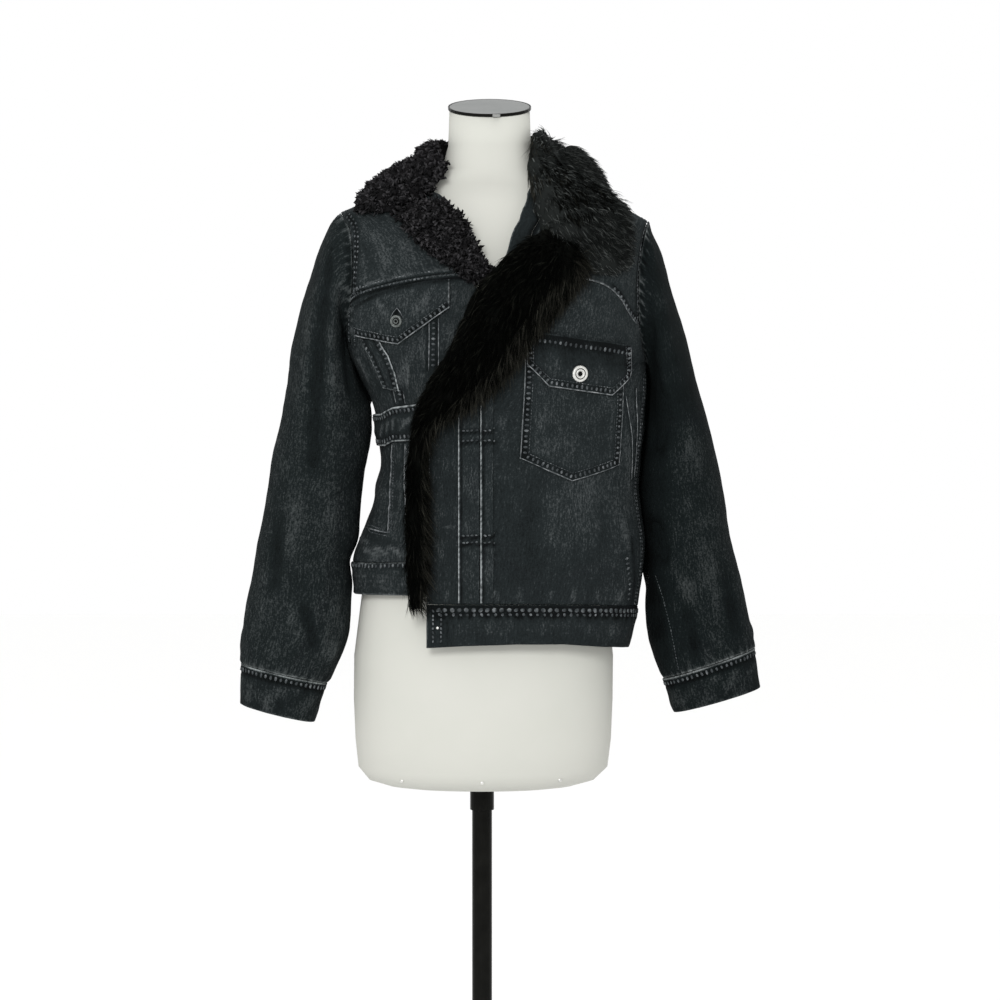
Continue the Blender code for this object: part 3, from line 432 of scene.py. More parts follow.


class Finish:
    """A material in the making, with its nodes and what feeds its surface."""

    def __init__(self, name, roughness, gloss, metallic=0.0):
        self.material = bpy.data.materials.new(name)
        self.material.use_nodes = True
        self.nodes = self.material.node_tree.nodes
        self.link = self.material.node_tree.links.new
        self.surface = self.nodes["Principled BSDF"].inputs
        self.surface["Roughness"].default_value = roughness
        self.surface["Metallic"].default_value = metallic
        self.surface["Specular IOR Level"].default_value = gloss

    def node(self, kind, inputs, **settings):
        """Adds a node. An input that is given another node's output is linked, and any other is set."""
        made = self.nodes.new("ShaderNode" + kind)
        for setting, value in settings.items():
            setattr(made, setting, value)
        for name, value in inputs.items():
            if isinstance(value, bpy.types.NodeSocket):
                self.link(value, made.inputs[name])
            else:
                made.inputs[name].default_value = value
        return made.outputs

    def noise(self, vector, scale, detail=2.0, stretch=None):
        if stretch:
            vector = self.node("Mapping", {"Scale": stretch, "Vector": vector})["Vector"]
        return self.node("TexNoise", {"Scale": scale, "Detail": detail, "Vector": vector})["Fac"]

    def weighted(self, start, *terms):
        """start + each (value - middle) * weight."""
        total = start - sum(middle * weight for _, middle, weight in terms)
        for value, _, weight in terms:
            total = self.node("Math", {0: value, 1: weight, 2: total}, operation="MULTIPLY_ADD")[0]
        return total

    def colour(self, value, *stops):
        """Colours the surface by a value, through stops of (position, colour)."""
        made = self.nodes.new("ShaderNodeValToRGB")
        while len(made.color_ramp.elements) < len(stops):
            made.color_ramp.elements.new(0.5)
        for element, (position, shade) in zip(made.color_ramp.elements, stops):
            element.position = position
            element.color = (*shade, 1.0)
        self.link(value, made.inputs["Fac"])
        self.link(made.outputs["Color"], self.surface["Base Color"])

    def bump(self, height, strength, distance):
        bumps = self.node("Bump", {"Strength": strength, "Distance": distance, "Height": height})
        self.link(bumps["Normal"], self.surface["Normal"])


def denim(name, base, worn, speckle=0.34):
    """Washed denim: fine twill, yarn slubs, pale flecks along the warp, slight fading, rubbed ridges, and
    painted shade in hollows, grooves and fold troughs where the colour value is below 0.
    """
    finish = Finish(name, 0.95, 0.06)
    flat = finish.node("UVMap", {}, uv_map=UV_NAME)["UV"]
    wear = finish.node("Attribute", {}, attribute_name=WEAR_AND_SHADE)["Fac"]
    weave = {"Scale": 260.0, "Distortion": 2.5, "Detail Scale": 2.0, "Vector": flat}
    twill = finish.node("TexWave", weave, bands_direction="DIAGONAL")["Fac"]
    grain = finish.noise(flat, 520.0, 3.0)
    fleck = finish.noise(flat, 1.0, 3.0, (560.0, 190.0, 1.0))
    slub = finish.noise(flat, 1.0, 2.0, (300.0, 42.0, 1.0))
    cloud = finish.noise(flat, 34.0, 4.0)
    pale = [(wear, 0.0, 0.6), (grain, 0.5, speckle), (fleck, 0.5, 0.44), (slub, 0.5, 0.24)]
    pale.append((cloud, 0.5, 0.11))
    # deep is the darkest stop: painted shade in hollows, also reached at random by dark yarn.
    deep = tuple(part * 0.25 for part in base)
    grey = tuple(part * 0.22 + whole * 0.78 for part, whole in zip(worn, base))
    finish.colour(finish.weighted(0.4, *pale), (0.08, deep), (0.4, base), (0.66, grey), (1.0, worn))
    finish.bump(finish.weighted(0.5, (twill, 0.5, 0.25), (grain, 0.5, 0.9), (slub, 0.5, 0.6)), 0.5, 0.0006)
    return finish.material


def rubbed(name, dark, middle, pale):
    """Stitches, puckers and worn ridges: patchy from dark through grey to pale along their length."""
    finish = Finish(name, 0.9, 0.1)
    worn = finish.noise(finish.node("TexCoord", {})["Object"], 150.0, 3.0)
    finish.colour(worn, (0.3, dark), (0.5, middle), (0.68, pale))
    return finish.material


def hair(name, dark, light, roughness, gloss, start):
    """Fur or pile: each strand or tuft has its own depth of colour, with painted shade towards its root and
    painted glints towards its tip.
    """
    finish = Finish(name, roughness, gloss)
    tuft = finish.node("Attribute", {}, attribute_name=TUFT)["Fac"]
    finish.colour(tuft, (0.0, dark), (start, dark), (1.0, light))
    return finish.material


def mottled(name, low, high, roughness, scale, metallic=0.0, gloss=0.3, grain=None):
    """A plain finish with a slight change of colour over it, and a fine grain of (depth, scale) if given."""
    finish = Finish(name, roughness, gloss, metallic)
    place_in = finish.node("TexCoord", {})["Object"]
    finish.colour(finish.noise(place_in, scale, 3.0), (0.3, low), (0.7, high))
    if grain:
        finish.bump(finish.noise(place_in, grain[1]), 0.4, grain[0])
    return finish.material


BODY_DENIM = denim("washed_charcoal_denim", (0.0118, 0.0152, 0.016), (0.27, 0.29, 0.295))
SLEEVE_DENIM = denim("black_sleeve_denim", (0.0072, 0.0099, 0.0103), (0.22, 0.24, 0.24), 0.36)
LEFT_SLEEVE_DENIM = denim("darker_sleeve_denim", (0.0047, 0.007, 0.0073), (0.19, 0.205, 0.205), 0.36)
PALE_THREAD = rubbed(
    "rubbed_grey_stitches", (0.016, 0.019, 0.02), (0.045, 0.051, 0.054), (0.13, 0.14, 0.145)
)
WELT_DENIM = rubbed("rubbed_welts", (0.035, 0.04, 0.042), (0.12, 0.13, 0.135), (0.26, 0.27, 0.275))
# Pile and fur: the dark end is the strands' own black; the light end is painted glints, and for the fur tips
# partly their own grey-brown.
CURLY_PILE = hair("curly_black_pile", (0.0062, 0.006, 0.0064), (0.045, 0.0435, 0.046), 0.9, 0.04, 0.15)
STRIP_FUR = hair("jet_black_long_fur", (0.0009, 0.0011, 0.0008), (0.017, 0.0175, 0.014), 0.6, 0.02, 0.5)
STRIP_WISPS = hair("fur_tips", (0.004, 0.0042, 0.0033), (0.05, 0.049, 0.04), 0.7, 0.03, 0.1)
COLLAR_FUR = hair("black_combed_fur", (0.0078, 0.0092, 0.0087), (0.1, 0.109, 0.104), 0.6, 0.05, 0.25)
AGED_METAL = mottled("aged_dark_metal", (0.045, 0.05, 0.048), (0.15, 0.165, 0.158), 0.5, 420.0, 0.5)
BRIGHT_METAL = mottled("satin_nickel", (0.5, 0.5, 0.48), (0.66, 0.66, 0.63), 0.45, 300.0, 0.8)
# painted shade for the buttons' sunk holes and grooves
HOLE_SHADE = mottled("painted_hole_shade", (0.003, 0.003, 0.003), (0.006, 0.006, 0.006), 0.9, 90.0, gloss=0.02)
COVER_GRAIN = (0.0001, 1400.0)
FORM_COVER = mottled(
    "off_white_cover", (0.455, 0.458, 0.42), (0.475, 0.475, 0.438), 0.8, 9.0, gloss=0.1, grain=COVER_GRAIN
)
CAP_GREY = mottled("matt_grey_cap", (0.205, 0.212, 0.209), (0.225, 0.23, 0.227), 0.7, 30.0, gloss=0.05)
GLOSS_BLACK = mottled(
    "black_gloss_enamel", (0.0035, 0.0035, 0.003), (0.006, 0.006, 0.0052), 0.26, 60.0, gloss=0.045
)
CLASP_GREY = mottled("grey_clasp", (0.16, 0.165, 0.16), (0.3, 0.3, 0.29), 0.4, 500.0, 0.4)

# ---- meshes


def make_mesh(name, points, faces, material):
    """faces is a list of arrays, each of triangles or of quads."""
    mesh = bpy.data.meshes.new(name)
    points = np.ascontiguousarray(points, np.float32)
    mesh.vertices.add(len(points))
    mesh.vertices.foreach_set("co", points.ravel())
    corners = np.concatenate([group.ravel() for group in faces]).astype(np.int32)
    sizes = np.concatenate([np.full(len(group), group.shape[1]) for group in faces])
    starts = np.concatenate(([0], np.cumsum(sizes)[:-1])).astype(np.int32)
    mesh.loops.add(len(corners))
    mesh.loops.foreach_set("vertex_index", corners)
    mesh.polygons.add(len(sizes))
    mesh.polygons.foreach_set("loop_start", starts)
    mesh.update(calc_edges=True)
    mesh.materials.append(material)
    mesh.shade_smooth()
    made = bpy.data.objects.new(name, mesh)
    bpy.context.scene.collection.objects.link(made)
    return made


def set_values(made, name, values):
    layer = made.data.attributes.new(name, "FLOAT", "POINT")
    layer.data.foreach_set("value", np.ascontiguousarray(values, np.float32))


def grid_quads(rows, columns, wraps=False):
    """Quads over a grid of points, rows by columns, joined round where it wraps."""
    index = np.arange(rows * columns).reshape(rows, columns)
    right = np.roll(index, -1, axis=1)
    if not wraps:
        index, right = index[:, :-1], right[:, :-1]
    return np.stack((index[:-1], right[:-1], right[1:], index[1:]), -1).reshape(-1, 4)


def tree_of(points, quads):
    return BVHTree.FromPolygons(points.reshape(-1, 3).tolist(), quads.tolist())


# ---- a cut piece of cloth

EDGE_STEPS = (0.0, 0.0005, 0.0012, 0.0024, 0.0042)  # extra grid lines where a cut edge turns over
EDGE_TURN = 0.0016
FRONT_STEP = 0.0032
BACK_STEP = 0.0055
PATH_STEP = 4.0
BORDER_STEPS = 4
TAU = 2 * math.pi

ROW_APART = 0.0065  # between the two rows of a doubled seam

Row = namedtuple("Row", "pitch length width height")
FINE_ROW = Row(0.0039, 0.0028, 0.0009, 0.0005)
PLAIN_ROW = Row(0.0046, 0.0031, 0.0014, 0.0007)
CHUNKY_ROW = Row(0.0053, 0.0035, 0.0022, 0.001)
PUCKER_ROW = Row(0.0066, 0.0029, 0.0048, 0.0009)  # bumps across a doubled seam, between its threads
Fold = namedtuple("Fold", "path width height")  # a ridge, or a trough where its height is below 0
ToneBand = namedtuple("ToneBand", "path width wear")  # a soft stretch that is paler, or darker below 0
WELT_WIDTH = 0.0017
WELT_HEIGHT = 0.0008


def edged_shares(length, step, spans):
    """Shares from 0 to 1 with a step between them, closer ones at both ends, and one at each span's end."""
    ends = np.array([edge for edge in EDGE_STEPS if edge < length / 3])
    count = max(int((length - 2 * ends[-1]) / step), 1)
    middle = np.linspace(ends[-1], length - ends[-1], count + 1)[1:-1]
    shares = np.concatenate((ends, middle, length - ends[::-1])) / length
    for corner in np.arange(1, spans) / spans:
        shares[np.abs(shares - corner).argmin()] = corner
    return shares


class Cloth:
    """A cut piece. Its surface gives the cloth's inner face and outward direction over (u, v)."""

    def __init__(self, name, surface, wide, tall, step, lift=0.0, thickness=DENIM, wraps=False, spans=(1, 1)):
        self.name = name
        self.surface = surface
        self.wide = wide
        self.tall = tall
        self.lift = lift
        self.thickness = thickness
        self.wraps = wraps
        self.spans = spans
        if wraps:
            across = np.arange(int(wide / step)) / int(wide / step)
        else:
            across = edged_shares(wide, step, spans[0])
        self.u, self.v = np.meshgrid(across, edged_shares(tall, step, spans[1]))
        self.inner, self.normals = surface(self.u, self.v)
        self.rows, self.columns = self.u.shape
        self.quads = grid_quads(self.rows, self.columns, wraps)
        self.base = self.over(self.u, self.v)
        self.flat = self.base.reshape(-1, 3)
        first, second, _, last = self.flat[self.quads[len(self.quads) // 2]]
        outward = self.normals.reshape(-1, 3)[self.quads[len(self.quads) // 2][0]]
        self.inward = np.cross(second - first, last - first) @ outward < 0
        if self.inward:
            self.quads = self.quads[:, ::-1]
        self.tree = tree_of(self.base, self.quads)
        self.push = np.zeros(len(self.flat))
        self.wear = np.zeros(len(self.flat))
        self.stitches = []
        self.welts = []
        self.outer_tree = None

    def over(self, u, v):
        """Points of the flat outer face."""
        points, normals = self.surface(np.asarray(u, float), np.asarray(v, float))
        return points + normals * (self.lift + self.thickness)

    # paths over the piece

    def seen(self, spots, curved=True):
        """A path from places in the camera's view, cast onto the piece."""
        line = (rounded if curved else straight)(spots, PATH_STEP)
        path = []
        for spot in line:
            ray = sight(*spot)
            hit = self.tree.ray_cast(VIEW_EYE, ray.normalized())[0]
            if hit is None:
                hit = self.tree.find_nearest(VIEW_EYE + ray * 0.98)[0]
            path.append(tuple(hit))
        return np.array(path)

    def behind(self, spots, curved=True):
        """A path from (x, height) in millimetres, cast onto the piece from the back."""
        line = (rounded if curved else straight)(spots, PATH_STEP)
        path = []
        for x, height in line:
            start = Vector((x * MM + FIGURE_SHIFT, 1.0, height * MM + FORM_BOTTOM))
            hit = self.tree.ray_cast(start, Vector((0, -1, 0)))[0]
            if hit is None:
                start.y = 0.08
                hit = self.tree.find_nearest(start)[0]
            path.append(tuple(hit))
        return np.array(path)

    def shares(self, spots, curved=True):
        """A path from (u, v) shares of the piece."""
        spots = np.asarray(spots, float) * (self.wide, self.tall) / MM
        line = (rounded if curved else straight)(spots, PATH_STEP) * MM / (self.wide, self.tall)
        return self.over(line[:, 0], line[:, 1])

    def border(self, side, inset, start=0.0, end=1.0):
        """A path along a border, some metres inside it."""
        length = self.wide if side in ("bottom", "top") else self.tall
        spans = self.spans[0] if side in ("bottom", "top") else self.spans[1]
        corners = [share for share in np.arange(1, spans) / spans if start < share < end]
        part = np.union1d(np.linspace(start, end, max(int(length / 0.004), 3)), corners)
        if side in ("bottom", "top"):
            ends = self.over(part, np.zeros_like(part)) - self.over(part, np.ones_like(part))
            share = inset / np.maximum(np.linalg.norm(ends, axis=1), 0.003)
            return self.over(part, share if side == "bottom" else 1 - share)
        ends = self.over(np.zeros_like(part), part) - self.over(np.ones_like(part), part)
        share = inset / np.maximum(np.linalg.norm(ends, axis=1), 0.003)
        return self.over(share if side == "inner" else 1 - share, part)

    # what is worked into the cloth

    def crease(self, path, width, height=0.0, wear=0.0, period=0.0, fade=0.0, seed=0.0):
        """A soft ridge along a path, or a trough where its height is below 0. With a period it puckers. A
        colour value above 0 rubs the cloth paler, and one below 0 paints shade; on puckers the darker turns
        are painted shade in their troughs.
        """
        distance, along, length = near(self.flat, path, 3 * width)
        profile = np.exp(-((distance / width) ** 2))
        if period:
            wobble = 1.4 * np.sin(along * TAU / 0.057 + seed) + 0.8 * np.sin(along * TAU / 0.023 + 2 * seed)
            profile = profile * (0.25 + np.cos(TAU * along / period + wobble))
        else:
            profile = profile * (1 + 0.22 * np.sin(along * TAU / 0.047 + seed))
        if fade:
            reach = fade * length
            ends = np.clip(np.minimum(along, length - along) / reach, 0, 1)
            profile = profile * ends * ends * (3 - 2 * ends)
        self.push += height * profile
        self.wear += wear * profile

    def press(self, side, inset, width, height, wear, start=0.0, end=1.0, **more):
        """A crease along a border, some metres inside it."""
        self.crease(self.border(side, inset, start, end), width, height, wear, **more)

    def folds(self, folds, ridge=0.1, trough=-0.1, fade=0.3, cast=None):
        """Soft folds, seen from the front where no other cast is given: ridges are rubbed paler, and troughs
        get painted shade.
        """
        for fold in folds:
            path = (cast or self.seen)(fold.path)
            self.crease(path, fold.width, fold.height, ridge if fold.height > 0 else trough, fade=fade)

    def tone_bands(self, tone_bands):
        for tone_band in tone_bands:
            self.crease(self.seen(tone_band.path), tone_band.width, wear=tone_band.wear)

    def unevenness(self, size, height, seed, wear=0.0):
        value = waves(self.flat, size, seed)
        self.push += height * value
        self.wear += wear * value

    def sew(self, path, row=FINE_ROW, shift=0.0):
        """A row of stitches along a path, moved sideways by shift metres, in a slight groove with painted
        shade.
        """
        self.stitches.append((path, shift, row))
        if row.width > FINE_ROW.width:
            self.crease(path if not shift else self.beside(path, shift), row.width * 1.3, -0.0002, -0.16)

    def sew_side(self, side, inset, row=FINE_ROW, start=0.0, end=1.0):
        self.sew(self.border(side, inset, start, end), row)

    def welt(self, path, width=1.0):
        """A thin rubbed ridge along a path, with a hollow of painted shade on its right."""
        self.welts.append((path, width))
        self.crease(self.beside(path, -0.0021), 0.0018, -0.0008, wear=-0.3)

    def seam(self, path, side=1, welt=0.0007, apart=ROW_APART, pucker=0.0005, seed=0.0, pale=0.2):
        """A felled seam: a groove with painted shade, a raised turning on one side, puckers, and two rows of
        stitches.
        """
        self.crease(path, 0.0012, -welt, wear=-0.3, seed=seed)
        middle = self.beside(path, side * (apart / 2 + 0.002))
        self.crease(middle, apart * 0.75, welt, seed=seed)
        self.crease(middle, apart * 0.9, pucker, wear=pale, period=0.0088, seed=seed)
        self.crease(self.beside(path, side * 0.0014), 0.0011, 0.0002, wear=pale * 0.8, seed=seed)
        self.sew(path, PLAIN_ROW, side * 0.002)
        self.sew(path, PLAIN_ROW, side * (0.002 + apart))

    def top_stitch(self, side, first=0.002, rows=2, row=PLAIN_ROW, seed=0.0, pale=0.2, start=0.0, end=1.0):
        """A border that is turned in and sewn down: raised, puckered and rubbed between its rows, with
        painted shade in the puckers' troughs.
        """
        apart = ROW_APART
        middle = self.border(side, first + apart * (rows - 1) / 2, start, end)
        reach = max(apart * (rows - 1), 0.004)
        self.crease(middle, reach * 0.75, 0.0004, seed=seed)
        self.crease(middle, reach * 0.85, 0.0004, wear=pale, period=0.0088, seed=seed)
        for number in range(rows):
            self.sew(self.border(side, first + number * apart, start, end), row)

    def rub(self, side, wear=0.6, width=0.0013, start=0.0, end=1.0, seed=0.0):
        """Rubs a border pale along its very edge, unevenly."""
        path = self.border(side, 0.0006, start, end)
        self.crease(path, width, 0.0, wear=wear, seed=seed)
        self.crease(path, width * 1.6, 0.0, wear=wear * 0.35, period=0.0075, seed=seed)

    def beside(self, path, shift):
        """The path moved sideways over the piece: to the left of its direction, seen from outside."""
        tangent = unit(np.gradient(path, axis=0))
        outward = np.array([tuple(self.tree.find_nearest(Vector(spot))[1]) for spot in path])
        return path + np.cross(outward, tangent) * shift

    # the finished piece

    def border_distance(self):
        up = np.minimum(self.v, 1 - self.v) * self.tall
        if self.wraps:
            return up
        return np.minimum(up, np.minimum(self.u, 1 - self.u) * self.wide)

    def build(self, name, material):
        """The closed shell: both faces follow the creases, and its cut edges are rounded over."""
        edge = self.border_distance()
        turned = np.clip(1 - edge / EDGE_TURN, 0, 1)
        round_off = (0.46 * self.thickness * (1 - np.sqrt(1 - turned**2)))[..., None]
        push = self.push.reshape(self.rows, self.columns)[..., None]
        outer = self.base + self.normals * (push - round_off)
        under = np.maximum(push * 0.8, -0.0006)
        inner = self.inner + self.normals * (self.lift + under + round_off)
        count = self.rows * self.columns
        quads = self.quads
        flat = outer.reshape(-1, 3)
        rims = self.rims(count)
        faces = [quads, quads[:, ::-1] + count, rims[:, ::-1] if self.inward else rims]
        made = make_mesh(name, np.concatenate((flat, inner.reshape(-1, 3))), faces, material)
        wear = np.clip(self.wear, -1, 1)
        # The inner face is painted darker than the denim's own colour, as shade inside the garment.
        set_values(made, WEAR_AND_SHADE, np.concatenate((wear, np.full(count, -0.25))))
        self.lay_out(made, count)
        self.outer_tree = tree_of(outer, quads)
        self.stitch_up()
        return made

    def rims(self, count):
        index = np.arange(count).reshape(self.rows, self.columns)
        if self.wraps:
            loops = [np.append(index[0], index[0, 0])[::-1], np.append(index[-1], index[-1, 0])]
        else:
            loops = [np.concatenate((index[0, ::-1], index[1:, 0], index[-1, 1:], index[-2::-1, -1]))]
        rims = [np.stack((loop[:-1], loop[1:], loop[1:] + count, loop[:-1] + count), -1) for loop in loops]
        return np.concatenate(rims)

    def lay_out(self, made, count):
        """The flat pattern's place of each point, in metres, for the weave."""
        across = self.u * self.wide
        upward = self.v * self.tall
        flat = np.stack((across.ravel(), upward.ravel()), -1)
        flat = np.concatenate((flat, flat + (0.0, 0.5)))
        layer = made.data.uv_layers.new(name=UV_NAME)
        corners = np.empty(len(made.data.loops), np.int32)
        made.data.loops.foreach_get("vertex_index", corners)
        layer.data.foreach_set("uv", flat[corners].astype(np.float32).ravel())

    def stitch_up(self):
        """Each stitch's middle, its way along, its outward direction, and its width and height."""
        spots, along, outward, sizes = [], [], [], []
        for path, shift, row in self.stitches:
            if shift:
                path = self.beside(path, shift)
            begun = np.concatenate(([0.0], np.cumsum(np.linalg.norm(np.diff(path, axis=0), axis=1))))
            for stop in np.arange(row.pitch / 2, begun[-1], row.pitch):
                ends = []
                for reach in (stop - row.length / 2, stop + row.length / 2):
                    spot = [np.interp(reach, begun, path[:, axis]) for axis in range(3)]
                    hit, normal = self.outer_tree.find_nearest(Vector(spot))[:2]
                    ends.append(hit)
                spots.append((ends[0] + ends[1]) / 2)
                along.append(ends[1] - ends[0])
                outward.append(normal)
                sizes.append((row.width, row.height))
        self.row_data = (spots, along, outward, sizes)

    def laid(self, path):
        """The path on the creased surface, with the outward direction at each point."""
        hits = [self.outer_tree.find_nearest(Vector(spot))[:2] for spot in path]
        return np.array([tuple(hit) for hit, _ in hits]), np.array([tuple(way) for _, way in hits])


STITCH_RINGS = ((-0.5, 0.45), (-0.12, 1.0), (0.25, 0.95), (0.5, 0.45))  # share along, share of the width
STITCH_SIDES = 4
WELT_SHAPE = ((-0.5, -0.25), (-0.28, 0.75), (0.28, 0.75), (0.5, -0.25))  # shares of its width and height


def stitch_mesh(cloth, material):
    """All of a piece's stitches as one joined mesh of small closed grains."""
    spots, along, outward, sizes = cloth.row_data
    if not spots:
        return None
    spots = np.array([tuple(spot) for spot in spots])
    along = np.array([tuple(step) for step in along])
    outward = np.array([tuple(normal) for normal in outward])
    wide, high = (np.array([size[axis] for size in sizes])[:, None] for axis in (0, 1))
    random = np.random.default_rng(len(spots))
    sideways = unit(np.cross(outward, along))
    turned = random.normal(0, 0.16, (len(spots), 1))
    spots = spots + along * random.normal(0, 0.07, (len(spots), 1))
    wide = wide * random.uniform(0.78, 1.2, wide.shape)
    along = along + sideways * np.linalg.norm(along, axis=1, keepdims=True) * turned
    high = high * random.uniform(0.75, 1.2, high.shape)
    rings = []
    for share, girth in STITCH_RINGS:
        for side in range(STITCH_SIDES):
            angle = TAU * (side + 0.5) / STITCH_SIDES
            reach = sideways * (math.cos(angle) * wide * 0.7) + outward * (math.sin(angle) * high)
            rings.append(spots + along * share + outward * high * 0.1 + reach * girth)
    points = np.stack(rings, 1)
    each = points.shape[1]
    one = grid_quads(len(STITCH_RINGS), STITCH_SIDES, wraps=True)
    last = np.array([[0, side, side + 1] for side in range(1, STITCH_SIDES - 1)])
    first = last[:, ::-1]
    last = last + each - STITCH_SIDES
    offsets = (np.arange(len(points)) * each)[:, None, None]
    quads = (one[None] + offsets).reshape(-1, 4)
    caps = (np.concatenate((first, last))[None] + offsets).reshape(-1, 3)
    return make_mesh(cloth.name + "_cloth_stitches", points.reshape(-1, 3), [quads, caps], material)


def welt_mesh(cloth, material):
    """All of a piece's rubbed ridges as one joined mesh of closed thin ribs."""
    if not cloth.welts:
        return None
    points, quads, caps, count = [], [], [], 0
    for number, (path, width) in enumerate(cloth.welts):
        spots, outward = cloth.laid(path)
        sideways = np.cross(outward, unit(np.gradient(spots, axis=0)))
        share = np.linspace(0, 1, len(spots))
        girth = 1 + 0.2 * np.sin(share * 37 + number) + 0.14 * np.sin(share * 83 + 2 * number)
        girth[0] = girth[-1] = 0.3
        girth = (girth * width)[:, None]
        ribs = [
            spots + sideways * (x * WELT_WIDTH * girth) + outward * (y * WELT_HEIGHT * girth)
            for x, y in WELT_SHAPE
        ]
        points.append(np.stack(ribs, 1).reshape(-1, 3))
        sides = len(WELT_SHAPE)
        quads.append(grid_quads(len(spots), sides, wraps=True) + count)
        last = np.array([[0, 1, 2], [0, 2, 3]])
        caps += [last[:, ::-1] + count, last + count + (len(spots) - 1) * sides]
        count += len(spots) * sides
    faces = [np.concatenate(quads), np.concatenate(caps)]
    return make_mesh(cloth.name + "_cloth_welts", np.concatenate(points), faces, material)


# ---- surfaces of panels and sleeves


def along_line(line, share):
    """Points on a line of (turn, height) pairs, which are evenly spaced in share."""
    line = np.asarray(line, float)
    reach = share * (len(line) - 1)
    steps = np.arange(len(line))
    return np.interp(reach, steps, line[:, 0]), np.interp(reach, steps, line[:, 1])


def fill(lines, u, v):
    """(turn, height) inside four border lines: u runs from inner to outer, v from bottom to top."""
    bottom, top, inner, outer = lines
    borders = zip(along_line(bottom, u), along_line(top, u), along_line(inner, v), along_line(outer, v))
    corners = zip(bottom[0], bottom[-1], top[0], top[-1])
    made = []
    for (low, high, near_side, far_side), (low_in, low_out, high_in, high_out) in zip(borders, corners):
        middle = (1 - v) * low + v * high + (1 - u) * near_side + u * far_side
        middle = middle - (1 - u) * (1 - v) * low_in - u * (1 - v) * low_out
        made.append(middle - (1 - u) * v * high_in - u * v * high_out)
    return made


def flowing(line):
    """A border line of (turn, height) pairs as a smooth curve."""
    return [tuple(spot) for spot in rounded(line, count=BORDER_STEPS)]


def path_length(points):
    return np.linalg.norm(np.diff(points, axis=0), axis=1).sum()


def panel(name, half, lines, step, lift=0.0, thickness=DENIM):
    """A flat-cut piece of cloth on a half of the jacket, between its bottom, top, inner and outer lines."""
    part = np.linspace(0, 1, 30)
    centre = np.full_like(part, 0.5)
    wide = path_length(half.point(*fill(lines, part, centre)))
    tall = path_length(half.point(*fill(lines, centre, part)))

    def surface(u, v):
        gap_u, gap_v = SEAM_GAP / 2 / wide, SEAM_GAP / 2 / tall
        turn, height = fill(lines, gap_u + u * (1 - 2 * gap_u), gap_v + v * (1 - 2 * gap_v))
        return half.point(turn, height), half.normal(turn, height)

    spans = (len(lines[0]) - 1, len(lines[2]) - 1)
    return Cloth(name, surface, wide, tall, step, lift, thickness, spans=spans)


RING_SPOTS = 180


def ring_points(half, ring):
    """A ring of the sleeve: it tilts between its outer and inner point, and is an ellipse front to back.

    Where the sleeve hangs against the body, its inner side follows the body's side round to the back.
    """
    inner_x = max(ring.inner_x, float(half.edge(ring.inner_height)) + SLEEVE_CLEARANCE)
    angle = np.arange(RING_SPOTS) * TAU / RING_SPOTS
    reach = np.cos(angle) / 2
    x = (ring.outer_x + inner_x) / 2 + (ring.outer_x - inner_x) * reach
    y = ring.centre_y - ring.half_depth * np.sin(angle)
    height = (ring.outer_height + ring.inner_height) / 2 + (ring.outer_height - ring.inner_height) * reach
    if ring.inner_height > SLEEVE_APART[half.side]:
        inside = np.clip(-np.sin(angle) / 0.4, 0, 1) * np.clip(-np.cos(angle) / 0.5, 0, 1)
        beside = np.maximum(half.width_at(y, height), half.edge(height) - SLEEVE_TUCK) + SLEEVE_CLEARANCE
        x = x + np.minimum(beside - x, 0) * inside * inside * (3 - 2 * inside)
    return place(half.side * x, y, height)


def armhole_ring(half):
    angle = np.arange(RING_SPOTS) * TAU / RING_SPOTS
    height = (half.tip + half.armpit) / 2 + (half.tip - half.armpit) / 2 * np.cos(angle)
    face = np.where(np.sin(angle) >= 0, -1.0, 1.0)
    x = half.edge(np.minimum(height, half.tip)) + DENIM / MM + HEAD_CLEARANCE
    return place(half.side * x, face * half.armhole(face, height), height)


def tube(name, rings, step, thickness):
    """A sleeve or cuff: u runs round it from its outermost line over the front, v down it."""
    rings = np.stack(rings)
    last = len(rings) - 1
    lengths = np.linalg.norm(np.diff(rings, axis=0), axis=2).mean(1)
    begun = np.concatenate(([0.0], np.cumsum(lengths)))
    tall = begun[-1]
    wide = np.linalg.norm(np.diff(rings, axis=1, append=rings[:, :1]), axis=2).sum(1).mean()

    def at_ring(level, spot, share):
        here = rings[level, spot]
        return here + (rings[level, (spot + 1) % RING_SPOTS] - here) * share

    def skin(u, v):
        reach = np.interp(v * tall, begun, np.arange(last + 1))
        low = np.clip(reach.astype(int), 0, last - 1)
        part = (reach - low)[..., None]
        turned = (u % 1.0) * RING_SPOTS
        spot = turned.astype(int) % RING_SPOTS
        share = (turned - turned.astype(int))[..., None]
        start, end = at_ring(low, spot, share), at_ring(low + 1, spot, share)
        before = np.where((low > 0)[..., None], at_ring(np.maximum(low - 1, 0), spot, share), 2 * start - end)
        after_level = np.minimum(low + 2, last)
        after = np.where((low < last - 1)[..., None], at_ring(after_level, spot, share), 2 * end - start)
        return between(before, start, end, after, part)

    def surface(u, v):
        points = skin(u, v)
        nudge = 0.006
        low, high = np.clip(v - nudge, 0, 1), np.clip(v + nudge, 0, 1)
        across = skin(u + nudge, v) - skin(u - nudge, v)
        downward = skin(u, high) - skin(u, low)
        outward = unit(np.cross(across, downward))
        facing = (outward * (points - (points + skin(u + 0.5, v)) / 2)).sum(-1, keepdims=True)
        return points, np.where(facing > 0, outward, -outward)

    return Cloth(name, surface, wide, tall, step, 0.0, thickness, wraps=True)


# ---- riding what was made on the body and hiding its solid


